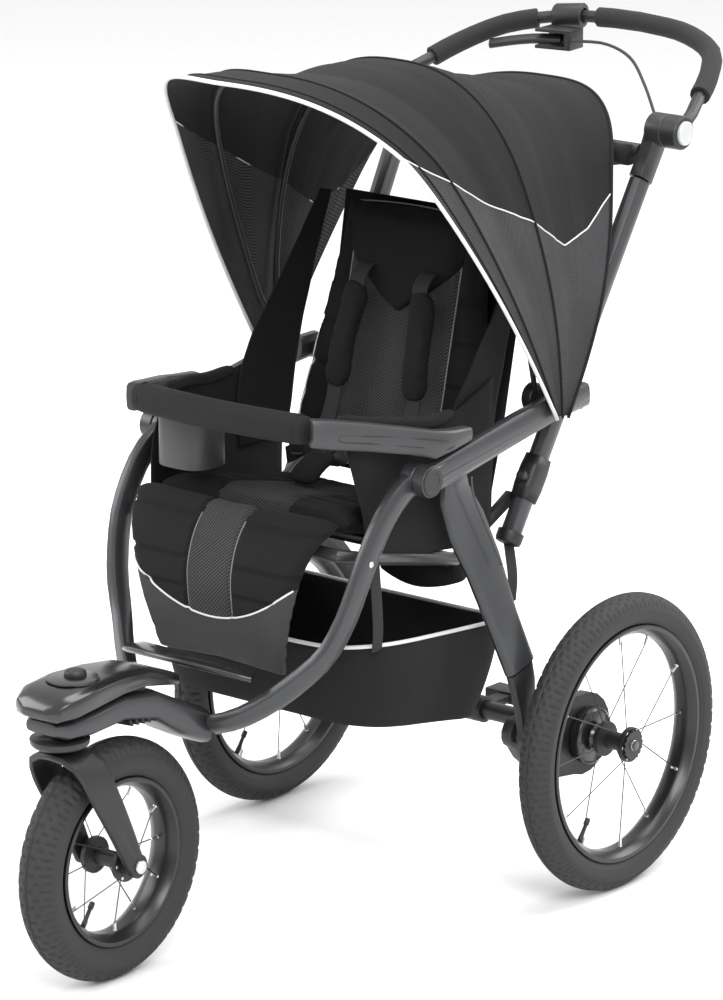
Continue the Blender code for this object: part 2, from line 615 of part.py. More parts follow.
def tray():
    """The arm bar: two moulded arms on the armrests, a padded cross bar and a cup well on the right."""
    for side, sign in SIDES:
        outline = [(0.1465, -0.1770, 0.669, 0.707), (0.1580, -0.1560, 0.664, 0.704), (0.180, -0.108, 0.656, 0.694),
                   (0.208, -0.060, 0.6465, 0.683), (0.2240, -0.030, 0.6370, 0.676), (0.2268, 0.000, 0.6425, 0.671),
                   (0.2268, 0.036, 0.6490, 0.6675)]
        loops = []
        for i, (x, y, low, high) in enumerate(outline):
            after = Vector(outline[min(i + 1, len(outline) - 1)][:2])
            before = Vector(outline[max(i - 1, 0)][:2])
            run = (after - before).normalized()
            across = Vector((run.y, -run.x))
            loops.append([Vector(((x + across.x * u) * sign, y + across.y * u, (low + high) / 2 + v))
                          for u, v in squircle(0.0100, (high - low) / 2, 12, 0.5)])
        keep(loft(loops), "tray_arm_" + side, "root", "grey_plastic", 35)
    bar = [Vector((x, -0.1760 - 0.010 * cos(x / 0.1385 * pi / 2), 0.690)) for x in
           (-0.1375, -0.110, -0.070, 0.0, 0.070, 0.110, 0.1375)]
    keep(sweep(bar, squircle(0.0165, 0.0195, 16, 0.7), side=Y), "tray_bar", "root", "fabric", 50)
    outer = [(-0.100 + u, -0.118 + v) for u, v in squircle(0.040, 0.036, 20, 0.7)]
    inner = [(-0.100 + u, -0.118 + v) for u, v in squircle(0.037, 0.033, 20, 0.7)]
    well = keep(slab(outer, 0.596, 0.664, "Z"), "cup_well", "root", "grey_plastic", 35)
    combine(well, slab(inner, 0.599, 0.70, "Z"), "DIFFERENCE", "cup_well_bore")


# ---- handle ----


def bar_path():
    """The push bar's centre line, from the left joint round to the right one."""
    half = [(JOINT_X - 0.0030, HANDLE_AXIS.y, HANDLE_AXIS.z), (0.2437, 0.4850, 0.9940), (0.2270, 0.5300, 1.0120),
            (0.2080, 0.5800, 1.0320), (0.1720, 0.6350, 1.0530), (0.1060, 0.6700, 1.0660), (0.0400, 0.6810, 1.0700),
            (0.0, 0.6827, 1.0706)]
    return smooth_path(half + [(-x, y, z) for x, y, z in half[-2::-1]], 35)


def handle_bar():
    path = bar_path()
    bar = keep(sweep(path, oval(BAR_RADIUS, BAR_RADIUS, 10), side=Z), "push_bar", "handle",
               "black_plastic", 50)
    for side, sign in SIDES:
        centre = side_point(JOINT_X, HANDLE_AXIS.yz, sign)
        profile = [(-0.0125, 0), (-0.0125, 0.0225), (0.0090, 0.0225), (0.0115, 0.0205), (0.0115, 0.0165),
                   (0.0030, 0.0165), (0.0030, 0)]
        housing = turned([(a * sign, r) for a, r in profile], centre, X, 28)
        combine(bar, housing, "UNION", f"push_bar_{side}_housing")
        button = turned([(a * sign, r) for a, r in disc_profile(0.0085, 0.0160, 0.0160, 0.0012)], centre, X, 28)
        keep(button, "handle_button_" + side, "handle_button_" + side, "silver", 30)
    for side, sign in SIDES:
        near_end = 0.118 if sign < 0 else -0.050
        stretch = [p for p in path if near_end < p.x * sign and p.y > 0.530]
        if sign < 0:
            stretch = stretch[::-1]
        ring = oval(GRIP_RADIUS, GRIP_RADIUS, 12)
        grip = keep(sweep(stretch, ring, side=Z), "grip_" + side, "handle", "foam", 50)
        core = sweep(path, oval(BAR_RADIUS + 0.0005, BAR_RADIUS + 0.0005, 10), side=Z)
        combine(grip, core, "DIFFERENCE", f"grip_{side}_core")


def brake_controls():
    """The clamp on the bar, the lever hung from it, and the cable to the right of the frame."""
    path = bar_path()
    nearest = min(range(len(path)), key=lambda i: abs(path[i].x + 0.085))
    centre = path[nearest]
    along = (path[nearest - 1] - path[nearest + 1]).normalized()
    shell = [(-0.0220, 0.0160), (-0.0200, 0.0175), (0.0200, 0.0175), (0.0220, 0.0160), (0.0220, 0.0108),
             (-0.0220, 0.0108)]
    housing = keep(turned(shell, centre, along, 20), "brake_housing", "handle", "black_plastic")
    body = slab([(-0.1080, 0.6160), (-0.0560, 0.6260), (-0.0600, 0.6620), (-0.1100, 0.6560)], 1.0290, 1.0560, "Z")
    combine(housing, body, "UNION", "brake_housing_body")
    slot = slab([(-0.1300, 0.6000), (-0.0640, 0.6100), (-0.0640, 0.6500), (-0.1300, 0.6500)], 1.0335, 1.0520, "Z")
    combine(housing, slot, "DIFFERENCE", "brake_housing_slot")
    line = smooth_path([(-0.0760, 0.6350, 1.0425), (-0.1100, 0.6230, 1.0410), (-0.1400, 0.6100, 1.0370),
                        (-0.1700, 0.5950, 1.0310)], 8)
    keep(sweep(line, squircle(0.0095, 0.0048, 8, 0.6), side=BAR_NORMAL.cross(X)), "brake_lever",
         "brake_lever", "black_plastic")
    cable = smooth_path([(-0.0545, 0.6290, 1.0430), (0.0100, 0.6180, 1.0480), (0.0800, 0.5800, 1.0420),
                         (0.1400, 0.5300, 1.0200), (0.1830, 0.4920, 0.9950), (0.1920, 0.4860, 0.9850)], 18)
    keep(sweep(cable, oval(0.0022, 0.0022, 8), side=Z), "brake_cable", "handle", "rubber", 60)


# ---- canopy ----


def arch(angle, radius, half, count, axis_gap=0.0, tuck=0.0):
    """Points of a bow: an arch that rises from the hinge at an angle from +Y, and leans upright towards its sides."""
    found = []
    for i in range(count):
        turn = pi * i / (count - 1)
        share = abs(cos(turn)) ** ARCH_POWER * (1 if cos(turn) >= 0 else -1)
        rise = axis_gap + (radius - axis_gap) * abs(sin(turn)) ** ARCH_POWER
        lean = radians(90 + (angle - 90) * (1 - SIDE_LEAN * share * share))
        pinch = tuck * max(0, 1 - rise / 0.080) ** 2
        across = half * share - pinch * (1 if share > 0 else -1)
        found.append(CANOPY_AXIS + X * across + Vector((0, cos(lean), sin(lean))) * rise)
    return found


CANOPY_BOWS = ((50, 0.455), (63, 0.415), (78, 0.402), (93, 0.418), (111, 0.456), (120.5, 0.500), (131, 0.589))


def canopy_radius(angle):
    """The canopy's outline as seen from the side, read between the bows."""
    for (low, low_radius), (high, high_radius) in zip(CANOPY_BOWS, CANOPY_BOWS[1:]):
        if angle <= high:
            share = (angle - low) / (high - low)
            return low_radius + (high_radius - low_radius) * share
    return CANOPY_BOWS[-1][1]


def canopy_panel(name, body, start, end, steps, thickness=0.0025):
    """A stretch of the canopy's skin between two angles, as a thin closed shell."""
    count = 21
    rows = []
    for i in range(steps):
        angle = start + (end - start) * i / (steps - 1)
        outer = arch(angle, canopy_radius(angle), CANOPY_HALF, count, 0.036)
        inner = arch(angle, canopy_radius(angle) - thickness, CANOPY_HALF - thickness, count, 0.036)
        rows.append(outer + inner[::-1])
    keep(loft(rows), name, body, "fabric", 50)


def canopy():
    """Two bows on a common axis, and the skin over them. The front bow ends in the two hinge hubs."""
    bow_half = CANOPY_HALF - 0.0075
    for name, body, angle in (("canopy_bow_mid", "canopy_mid", 94), ("canopy_bow_front", "canopy_front", 123)):
        path = arch(angle, canopy_radius(angle) - 0.0095, bow_half, 29, 0.0, HUB_TUCK)
        radial = Vector((0, cos(radians(angle)), sin(radians(angle))))
        if body == "canopy_mid":
            path = [p for p in path if (p - CANOPY_AXIS).dot(radial) > 0.024]
        bow = keep(sweep(path, oval(0.0036, 0.0036, 8), side=radial.cross(X)), name, body, "black_plastic", 60)
        if body == "canopy_mid":
            continue
        for side, sign in SIDES:
            profile = [(a * sign, r) for a, r in disc_profile(-0.0110, 0.0040, 0.0190, 0.0015)]
            hub = turned(profile, side_point(bow_half - HUB_TUCK, CANOPY_AXIS.yz, sign), X, 24)
            combine(bow, hub, "UNION", f"canopy_hub_{side}")
    canopy_panel("canopy_rear", "root", 50.0, 92.0, 6)
    canopy_panel("canopy_middle", "canopy_mid", 92.4, 110.0, 4)
    canopy_panel("canopy_visor", "canopy_front", 110.4, 131.0, 4)


# ---- basket ----


def basket():
    """An open fabric tub between the legs, with a floor that slopes down to the rear."""
    outer = [(-0.128, 0.405), (-0.112, 0.280), (0.160, 0.218), (0.204, 0.375)]
    inner = [(-0.125, 0.430), (-0.1085, 0.2835), (0.1570, 0.2220), (0.201, 0.430)]
    tub = keep(slab(outer, -0.197, 0.197), "basket", "root", "fabric", 40)
    combine(tub, slab(inner, -0.194, 0.194), "DIFFERENCE", "basket_inside")


clear_scene()
MATERIALS = make_materials()
EMPTIES = make_bodies()
front_wheel()
rear_wheels()
front_legs()
hub_arm()
swivel_lock()
fork()
rear_legs()
suspension()
brake_pedal()
handle_tubes()
armrests()
seat_frame()
seat()
harness()
tray()
handle_bar()
brake_controls()
canopy()
basket()
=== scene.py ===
"""The finished look of a three-wheel jogging stroller: materials, cloth, tread, harness and fittings.

at() takes a point as the part's own drawing gives it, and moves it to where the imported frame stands.
"""

import json
from math import cos, pi, radians, sin

import bmesh
import bpy
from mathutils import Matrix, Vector, noise
from mathutils.bvhtree import BVHTree

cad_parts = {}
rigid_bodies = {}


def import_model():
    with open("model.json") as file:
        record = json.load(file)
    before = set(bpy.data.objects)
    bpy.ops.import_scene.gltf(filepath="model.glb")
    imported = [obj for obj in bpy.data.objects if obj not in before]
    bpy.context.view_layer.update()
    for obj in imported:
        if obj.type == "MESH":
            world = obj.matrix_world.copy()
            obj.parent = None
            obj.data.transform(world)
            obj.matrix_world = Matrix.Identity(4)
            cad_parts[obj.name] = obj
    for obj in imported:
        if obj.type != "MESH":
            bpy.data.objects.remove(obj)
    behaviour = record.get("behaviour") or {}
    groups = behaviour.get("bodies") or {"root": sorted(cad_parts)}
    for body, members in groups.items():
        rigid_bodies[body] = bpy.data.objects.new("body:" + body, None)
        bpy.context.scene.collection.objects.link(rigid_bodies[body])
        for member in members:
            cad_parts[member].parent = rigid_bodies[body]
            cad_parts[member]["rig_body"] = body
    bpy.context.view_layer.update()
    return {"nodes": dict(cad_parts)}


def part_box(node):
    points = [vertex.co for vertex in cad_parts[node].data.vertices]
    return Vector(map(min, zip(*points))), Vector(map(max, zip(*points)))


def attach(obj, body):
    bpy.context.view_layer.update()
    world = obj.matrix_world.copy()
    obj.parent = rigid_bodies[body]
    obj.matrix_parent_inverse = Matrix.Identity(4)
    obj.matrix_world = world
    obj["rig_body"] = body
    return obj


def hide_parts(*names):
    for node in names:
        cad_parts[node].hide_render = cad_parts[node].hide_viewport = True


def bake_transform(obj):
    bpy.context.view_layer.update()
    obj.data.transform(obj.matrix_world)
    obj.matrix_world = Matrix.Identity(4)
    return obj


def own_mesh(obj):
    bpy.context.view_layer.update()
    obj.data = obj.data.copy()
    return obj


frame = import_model()
NODES = frame["nodes"]

DATUM = Vector((0.0, -0.0713, 0.0))
X = Vector((1, 0, 0))
Y = Vector((0, 1, 0))
Z = Vector((0, 0, 1))
SIDES = (("left", 1), ("right", -1))
FRONT_AXLE = Vector((0.0, -0.4683, 0.157))
REAR_AXLE = Vector((0.0, 0.2057, 0.200))
REAR_TRACK = 0.588


def at(x, y, z):
    return Vector((x, y, z)) + DATUM


def at_side(sign, *points):
    """Points given for the left side, placed on the side of the sign."""
    return [at(sign * x, y, z) for x, y, z in points]


def around_x(turn):
    """The direction at an angle round a wheel's axle."""
    return Vector((0, cos(turn), sin(turn)))


def placed(name, data):
    """A new object in the scene."""
    made = bpy.data.objects.new(name, data)
    bpy.context.scene.collection.objects.link(made)
    return made


def flip(point, sign):
    return Vector((point[0] * sign, point[1], point[2]))


# ---- materials ----


def add(tree, kind, values=None, **links):
    """A shader node with its plain input values and its linked inputs."""
    made = tree.nodes.new(kind)
    for key, value in (values or {}).items():
        made.inputs[key].default_value = value
    for key, socket in links.items():
        tree.links.new(socket, made.inputs[key])
    return made


def calculate(tree, operation, first, second):
    """A Math node. Each side is a socket or a number."""
    made = tree.nodes.new("ShaderNodeMath")
    made.operation = operation
    for slot, value in enumerate((first, second)):
        if isinstance(value, (int, float)):
            made.inputs[slot].default_value = value
        else:
            tree.links.new(value, made.inputs[slot])
    return made.outputs[0]


def speckle(tree, coords, scale, detail):
    texture = add(tree, "ShaderNodeTexNoise", {"Scale": scale, "Detail": detail}, Vector=coords)
    return texture.outputs["Fac"]


def shader_of(name, roughness, metallic=0.0, sheen=0.0, coat=0.0, gloss=0.5):
    material = bpy.data.materials.new(name)
    material.use_nodes = True
    tree = material.node_tree
    shader = tree.nodes["Principled BSDF"]
    values = {"Roughness": roughness, "Metallic": metallic, "Specular IOR Level": gloss,
              "Sheen Weight": sheen, "Sheen Roughness": 0.45, "Coat Weight": coat, "Coat Roughness": 0.12}
    for key, value in values.items():
        shader.inputs[key].default_value = value
    return material, tree, shader


def tint(tree, shader, factor, dark, light):
    """Base colour that runs from dark to light with the factor."""
    mix = tree.nodes.new("ShaderNodeMix")
    mix.data_type = "RGBA"
    mix.inputs["A"].default_value = (*dark, 1)
    mix.inputs["B"].default_value = (*light, 1)
    tree.links.new(factor, mix.inputs["Factor"])
    tree.links.new(mix.outputs["Result"], shader.inputs["Base Color"])


def raise_bump(tree, shader, height, strength, distance):
    bump = add(tree, "ShaderNodeBump", {"Strength": strength, "Distance": distance}, Height=height)
    tree.links.new(bump.outputs["Normal"], shader.inputs["Normal"])


def surface(name, dark, light, roughness, grain, depth, metallic=0.0, coat=0.0, patch=9.0, wear=0.06):
    """A moulded, painted or metal surface: slow colour drift, uneven gloss and a fine grain."""
    material, tree, shader = shader_of(name, roughness, metallic, coat=coat)
    coords = tree.nodes.new("ShaderNodeTexCoord").outputs["Object"]
    drift = speckle(tree, coords, patch, 4.0)
    fine = speckle(tree, coords, grain, 2.0)
    broad = calculate(tree, "MULTIPLY", drift, 0.6)
    tint(tree, shader, calculate(tree, "ADD", broad, calculate(tree, "MULTIPLY", fine, 0.4)), dark, light)
    rough = calculate(tree, "MULTIPLY_ADD", drift, wear * 2)
    rough.node.inputs[2].default_value = roughness - wear
    tree.links.new(rough, shader.inputs["Roughness"])
    raise_bump(tree, shader, fine, 0.35, depth)
    return material


def stripes(tree, coordinate, pitch):
    """A wave from -1 to 1 along one coordinate in metres."""
    turn = calculate(tree, "MULTIPLY", coordinate, 2 * pi / pitch)
    return calculate(tree, "SINE", turn, 0.0)


def cloth(name, dark, light, pitch, style="plain", space="UV", roughness=0.85, sheen=0.02, depth=0.0004):
    """Woven cloth in a plain, grid or diagonal weave. pitch is in metres, along the UVs or along space."""
    material, tree, shader = shader_of(name, roughness, sheen=sheen, gloss=0.18)
    source = tree.nodes.new("ShaderNodeTexCoord")
    parts = add(tree, "ShaderNodeSeparateXYZ", Vector=source.outputs["UV" if space == "UV" else "Object"])
    u = parts.outputs["X"]
    v = parts.outputs["Y"]
    if space != "UV":
        u = calculate(tree, "ADD", u, calculate(tree, "MULTIPLY", parts.outputs["Y"], 0.5))
        v = calculate(tree, "ADD", parts.outputs["Z"], calculate(tree, "MULTIPLY", parts.outputs["Y"], 0.8))
    if style == "diagonal":
        threads = stripes(tree, calculate(tree, "ADD", u, v), pitch)
        cells = calculate(tree, "MULTIPLY_ADD", threads, 0.5)
        cells.node.inputs[2].default_value = 0.5
    else:
        product = calculate(tree, "MULTIPLY", stripes(tree, u, pitch), stripes(tree, v, pitch))
        sharpness = 3.0 if style == "grid" else 0.6
        cells = calculate(tree, "MULTIPLY_ADD", product, sharpness)
        cells.node.inputs[2].default_value = 0.0 if style == "grid" else 0.5
        cells.node.use_clamp = True
    drift = speckle(tree, source.outputs["Object"], 14.0, 5.0)
    fuzz = speckle(tree, source.outputs["Object"], 900.0, 2.0)
    worn = calculate(tree, "MULTIPLY", drift, fuzz)
    woven = calculate(tree, "MULTIPLY", cells, 0.75)
    share = calculate(tree, "ADD", woven, calculate(tree, "MULTIPLY", worn, 0.6))
    tint(tree, shader, share, dark, light)
    height = calculate(tree, "ADD", cells, calculate(tree, "MULTIPLY", fuzz, 0.6))
    raise_bump(tree, shader, height, 0.55, depth)
    return material


def brushed(name, dark, light, roughness):
    """Bright metal with fine scratches along X."""
    material, tree, shader = shader_of(name, roughness, 1.0)
    coords = tree.nodes.new("ShaderNodeTexCoord").outputs["Object"]
    stretched = add(tree, "ShaderNodeMapping", {"Scale": (60, 2500, 2500)}, Vector=coords).outputs["Vector"]
    lines = speckle(tree, stretched, 1.0, 3.0)
    tint(tree, shader, lines, dark, light)
    raise_bump(tree, shader, lines, 0.2, 0.0001)
    return material


CHARCOAL = surface("charcoal_paint", (0.030, 0.031, 0.033), (0.052, 0.053, 0.056), 0.34, 2600, 0.0001,
                   0.45, 0.10)
BLACK = surface("black_moulding", (0.004, 0.004, 0.0045), (0.009, 0.009, 0.0095), 0.50, 1500, 0.0002)
GLOSS = surface("gloss_black", (0.006, 0.006, 0.007), (0.012, 0.012, 0.013), 0.24, 900, 0.00004, coat=0.35)
RIM = surface("rim_black", (0.005, 0.005, 0.006), (0.011, 0.011, 0.012), 0.33, 900, 0.00005, 0.2, 0.1)
GREY = surface("grey_moulding", (0.026, 0.026, 0.028), (0.042, 0.042, 0.045), 0.44, 1800, 0.0001, 0.10)
DARK_GREY = surface("dark_grey_casting", (0.014, 0.014, 0.015), (0.026, 0.026, 0.028), 0.42, 1400, 0.0002,
                    0.25)
RUBBER = surface("tyre_rubber", (0.010, 0.010, 0.0105), (0.021, 0.021, 0.0215), 0.74, 1100, 0.0003, wear=0.10)
FOAM = surface("foam_grip", (0.005, 0.005, 0.0055), (0.014, 0.014, 0.0145), 0.90, 750, 0.0009)
STEEL = brushed("brushed_steel", (0.42, 0.43, 0.45), (0.78, 0.79, 0.81), 0.28)
WHITE_DISC = surface("pale_disc", (0.42, 0.43, 0.44), (0.55, 0.56, 0.57), 0.35, 1200, 0.00005, 0.3)
CANOPY_CLOTH = cloth("canopy_cloth", (0.0050, 0.0050, 0.0055), (0.013, 0.013, 0.014), 0.0012)
GRID_UV = cloth("grid_cloth", (0.004, 0.004, 0.0045), (0.075, 0.076, 0.079), 0.0050, "grid", depth=0.0006)
GRID_XZ = cloth("grid_cloth_flat", (0.004, 0.004, 0.0045), (0.070, 0.071, 0.074), 0.0050, "grid", "XZ",
                depth=0.0006)
SEAT_CLOTH = cloth("seat_cloth", (0.0035, 0.0035, 0.004), (0.0105, 0.0105, 0.011), 0.0014, "plain", "XZ")
KICK_CLOTH = cloth("kick_cloth", (0.020, 0.0203, 0.021), (0.056, 0.0565, 0.058), 0.0034, "diagonal", "XZ")
PAD_CLOTH = cloth("bar_cloth", (0.0055, 0.0055, 0.006), (0.018, 0.018, 0.019), 0.0016, "plain", "XZ", 0.8)
WEBBING = cloth("webbing", (0.008, 0.008, 0.0085), (0.036, 0.036, 0.038), 0.0022, "diagonal", "XZ")
PIPING = cloth("pale_piping", (0.46, 0.46, 0.47), (0.68, 0.68, 0.69), 0.0016, "plain", "XZ", 0.6)
STITCH = cloth("pale_stitching", (0.10, 0.10, 0.105), (0.26, 0.26, 0.27), 0.0030, "diagonal", "XZ", 0.7)


# ---- mesh helpers ----


def grid_faces(rows, columns, wrap_rows=False, wrap_columns=False):
    """Four-sided faces over rows of points. A wrapped direction closes on itself."""
    faces = []
    for i in range(rows if wrap_rows else rows - 1):
        for j in range(columns if wrap_columns else columns - 1):
            near = i * columns
            far = (i + 1) % rows * columns
            after = (j + 1) % columns
            faces.append([near + j, near + after, far + after, far + j])
    return faces


def mesh_piece(name, points, faces, materials, body, slot, smooth=True):
    """A new piece that rides on a body. materials is one material or a list."""
    mesh = bpy.data.meshes.new(name)
    mesh.from_pydata([tuple(p) for p in points], [], faces)
    mesh.validate()
    for material in materials if isinstance(materials, list) else [materials]:
        mesh.materials.append(material)
    bm = bmesh.new()
    bm.from_mesh(mesh)
    bmesh.ops.recalc_face_normals(bm, faces=bm.faces)
    for face in bm.faces:
        face.smooth = smooth
    bm.to_mesh(mesh)
    bm.free()
    piece = placed(name, mesh)
    if body:
        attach(piece, body)
    return piece


def settle(piece):
    """Applies a piece's modifiers."""
    graph = bpy.context.evaluated_depsgraph_get()
    mesh = bpy.data.meshes.new_from_object(piece.evaluated_get(graph))
    piece.modifiers.clear()
    piece.data = mesh


def smooth_path(points, count):
    """A Catmull-Rom curve through the points, in equal steps."""
    points = [Vector(p) for p in points]
    ends = [2 * points[0] - points[1], *points, 2 * points[-1] - points[-2]]
    dense = []
    for a, b, c, d in zip(ends, ends[1:], ends[2:], ends[3:]):
        for step in range(16):
            t = step / 16
            dense.append((2 * b + (c - a) * t + (2 * a - 5 * b + 4 * c - d) * t * t
                          + (3 * b - a - 3 * c + d) * t ** 3) / 2)
    dense.append(points[-1])
    return even_steps(dense, count)


def even_steps(dense, count):
    along = [0.0]
    for a, b in zip(dense, dense[1:]):
        along.append(along[-1] + (b - a).length)
    found = []
    index = 0
    for step in range(count):
        goal = along[-1] * step / (count - 1)
        while index < len(dense) - 2 and along[index + 1] < goal:
            index += 1
        share = (goal - along[index]) / max(along[index + 1] - along[index], 1e-9)
        found.append(dense[index].lerp(dense[index + 1], min(max(share, 0.0), 1.0)))
    return found


def signed_power(value, power):
    return abs(value) ** power * (1 if value >= 0 else -1)


def squircle(half_u, half_v, count, power):
    """A rounded outline. A power of 1 gives an ellipse, and a lower one gives squarer corners."""
    found = []
    for i in range(count):
        turn = 2 * pi * (i + 0.5) / count
        found.append((half_u * signed_power(cos(turn), power), half_v * signed_power(sin(turn), power)))
    return found


def swept(path, sections, side=None, closed=False):
    """Points and faces of a tube along a path. sections is one outline or one for each point."""
    count = len(path)
    if not isinstance(sections[0], list):
        sections = [sections] * count
    points = []
    previous = side
    for i, place in enumerate(path):
        ahead = path[(i + 1) % count] if closed else path[min(i + 1, count - 1)]
        behind = path[i - 1] if closed else path[max(i - 1, 0)]
        tangent = (ahead - behind).normalized()
        if previous is None:
            previous = tangent.orthogonal()
        across = (previous - tangent * previous.dot(tangent)).normalized()
        normal = tangent.cross(across)
        if side is None:
            previous = across
        points += [place + across * u + normal * v for u, v in sections[i]]
    ring = len(sections[0])
    faces = grid_faces(count, ring, closed, True)
    if not closed:
        faces += [list(range(ring))[::-1], [(count - 1) * ring + j for j in range(ring)]]
    return points, faces


def tube(name, path, radius, material, body, slot, sides=8, closed=False):
    points, faces = swept(path, squircle(radius, radius, sides, 1.0), closed=closed)
    return mesh_piece(name, points, faces, material, body, slot)


def strap(name, path, half, thickness, body, side=X):
    """Flat webbing along a path. side is the direction that its width runs in."""
    section = squircle(half, thickness / 2, 12, 0.35)
    return mesh_piece(name, *swept(path, section, side), WEBBING, body, "fabric")


def ring_basis(axis):
    axis = Vector(axis).normalized()
    first = axis.orthogonal().normalized()
    return axis, first, axis.cross(first)


def turned_shape(profile, centre, axis, count=24):
    """Points and faces of a profile of (distance along the axis, radius), turned about the axis."""
    axis, first, second = ring_basis(axis)
    points = []
    for along, radius in profile:
        for i in range(count):
            turn = 2 * pi * i / count
            outward = first * cos(turn) + second * sin(turn)
            points.append(centre + axis * along + outward * max(radius, 0.00002))
    faces = grid_faces(len(profile), count, False, True)
    last = (len(profile) - 1) * count
    faces += [list(range(count))[::-1], [last + i for i in range(count)]]
    return points, faces


def joined(shapes):
    """Several (points, faces) as one."""
    points, faces = [], []
    for more, indices in shapes:
        base = len(points)
        points += more
        faces += [[base + i for i in face] for face in indices]
    return points, faces


def spoke_head_shape(centre, axis, radius, height):
    """A low domed head with a round recess."""
    profile = [(-0.0005, radius), (height * 0.5, radius), (height * 0.9, radius * 0.86),
               (height, radius * 0.62), (height, radius * 0.42), (height * 0.3, radius * 0.38),
               (height * 0.3, 0)]
    return turned_shape(profile, centre, axis, 18)


def set_uv(piece, places):
    """UVs in metres, one for each vertex."""
    layer = piece.data.uv_layers.new(name="weave")
    for loop in piece.data.loops:
        layer.data[loop.index].uv = places[loop.vertex_index]


def thicken(piece, thickness):
    solid = piece.modifiers.new("cloth_thickness", "SOLIDIFY")
    solid.thickness = thickness
    solid.offset = 0.0
    settle(piece)


def surface_tree(piece):
    mesh = piece.data
    return BVHTree.FromPolygons([v.co for v in mesh.vertices], [p.vertices for p in mesh.polygons])


def cast(tree, points, direction, lift=0.0):
    """The points dropped along a direction onto a surface, then lifted back by a little."""
    direction = Vector(direction).normalized()
    found = []
    for point in points:
        hit = tree.ray_cast(point - direction * 0.2, direction, 0.5)[0]
        if hit is not None:
            found.append(hit - direction * lift)
    return found


# ---- hard parts carried over from the frame ----


def refine(material, *names, bevel=0.0009, angle=35):
    """A smooth-shaded copy of each CAD node, with softened edges, that stands for it."""
    for name in names:
        source = NODES[name]
        bm = bmesh.new()
        bm.from_mesh(source.data)
        bmesh.ops.remove_doubles(bm, verts=bm.verts, dist=0.00002)
        bmesh.ops.dissolve_limit(bm, angle_limit=radians(1.0), verts=bm.verts, edges=bm.edges)
        for face in bm.faces:
            face.smooth = True
            face.material_index = 0
        mesh = bpy.data.meshes.new(name + "_shell")
        bm.to_mesh(mesh)
        bm.free()
        mesh.materials.append(material)
        piece = placed(name + "_shell", mesh)
        if bevel:
            edge = piece.modifiers.new("soft_edges", "BEVEL")
            edge.width = bevel
            edge.segments = 2
            edge.limit_method = "ANGLE"
            edge.angle_limit = radians(angle)
            edge.harden_normals = False
            settle(piece)
        shade_by_angle(piece, angle)
        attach(piece, source["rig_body"])
        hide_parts(name)


def shade_by_angle(piece, degrees):
    """Smooth shading, with every edge sharper than the angle kept crisp."""
    bm = bmesh.new()
    bm.from_mesh(piece.data)
    for face in bm.faces:
        face.smooth = True
    for edge in bm.edges:
        edge.smooth = len(edge.link_faces) == 2 and edge.calc_face_angle() < radians(degrees)
    bm.to_mesh(piece.data)
    bm.free()


def both(name):
    return [name + "_left", name + "_right"]


refine(CHARCOAL, *both("front_leg"), *both("rear_leg"), *both("handle_tube"), *both("armrest"), "hub_arm",
       "seat_frame")
refine(GLOSS, "arm_cover", "footrest_bar", *both("brake_drum"))
refine(BLACK, *both("shin"), "fork", "brake_pedal", "upper_crossbar", "brake_housing", "brake_lever",
       "buckle", "swivel_lock_knob")
refine(SEAT_CLOTH, "backboard")
refine(BLACK, "canopy_bow_front", "canopy_bow_mid", "push_bar", bevel=0.0)
refine(BLACK, "front_hub", *both("rear_hub"), bevel=0.0, angle=45)
refine(DARK_GREY, "swivel_cup", *both("handle_head"), "rear_swing_arm")
refine(GREY, *both("tray_arm"), "cup_well", "buckle_button")
refine(FOAM, *both("grip"), bevel=0.0, angle=50)
refine(WHITE_DISC, *both("handle_button"))
refine(STEEL, "front_axle_bolt", bevel=0.0003)
refine(RUBBER, "brake_cable", bevel=0.0, angle=60)


# ---- padded cloth ----


CLOTH_STEPS = 20
CLOTH_PRESSURE = 4.0


def inflate(piece, voxel, cap):
    """Remeshes a piece, blows it up as cloth, and keeps every point within the cap of where it started."""
    remesh = piece.modifiers.new("remesh", "REMESH")
    remesh.mode = "VOXEL"
    remesh.voxel_size = voxel
    remesh.use_smooth_shade = True
    settle(piece)
    start = [v.co.copy() for v in piece.data.vertices]
    blown = piece.modifiers.new("blown", "CLOTH")
    blown.settings.use_pressure = True
    blown.settings.uniform_pressure_force = CLOTH_PRESSURE
    blown.settings.effector_weights.gravity = 0
    for step in range(1, CLOTH_STEPS + 1):
        bpy.context.scene.frame_set(step)
    settle(piece)
    bpy.context.scene.frame_set(1)
    for vertex, origin in zip(piece.data.vertices, start):
        move = vertex.co - origin
        if move.length > cap:
            vertex.co = origin + move * (cap / move.length)
    finer = piece.modifiers.new("finer", "SUBSURF")
    finer.levels = 1
    finer.render_levels = 1
    settle(piece)


def sew(piece, depth_at):
    """Presses sewn seams into a pad: each point sinks along its normal by depth_at(point, normal)."""
    moves = [v.normal * -depth_at(v.co, v.normal) for v in piece.data.vertices]
    for vertex, move in zip(piece.data.vertices, moves):
        vertex.co += move


def paint(piece, materials, choose):
    """Gives each face the material whose number choose(centre, normal) returns."""
    piece.data.materials.clear()
    for material in materials:
        piece.data.materials.append(material)
    for face in piece.data.polygons:
        face.material_index = choose(face.center, face.normal)
        face.use_smooth = True


def seam(distance, width, depth):
    return depth * max(0.0, 1 - (distance / width) ** 2) ** 2


def pad(name, stations, half, body, cap=0.007):
    """A closed pad through (y, z, width share, thickness) stations, blown up as cloth."""
    count = 40
    centres = smooth_path([at(0, y, z) for y, z, _, _ in stations], count)
    sizes = smooth_path([Vector((w, t, 0)) for _, _, w, t in stations], count)
    sections = [squircle(half * size[0], size[1] * 0.8, 32, 0.55) for size in sizes]
    piece = mesh_piece(name, *swept(centres, sections, X), SEAT_CLOTH, None, "fabric")
    inflate(piece, 0.005, cap)
    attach(piece, body)
    return piece


# ---- wheels ----

TYRE_SPREAD = radians(137)


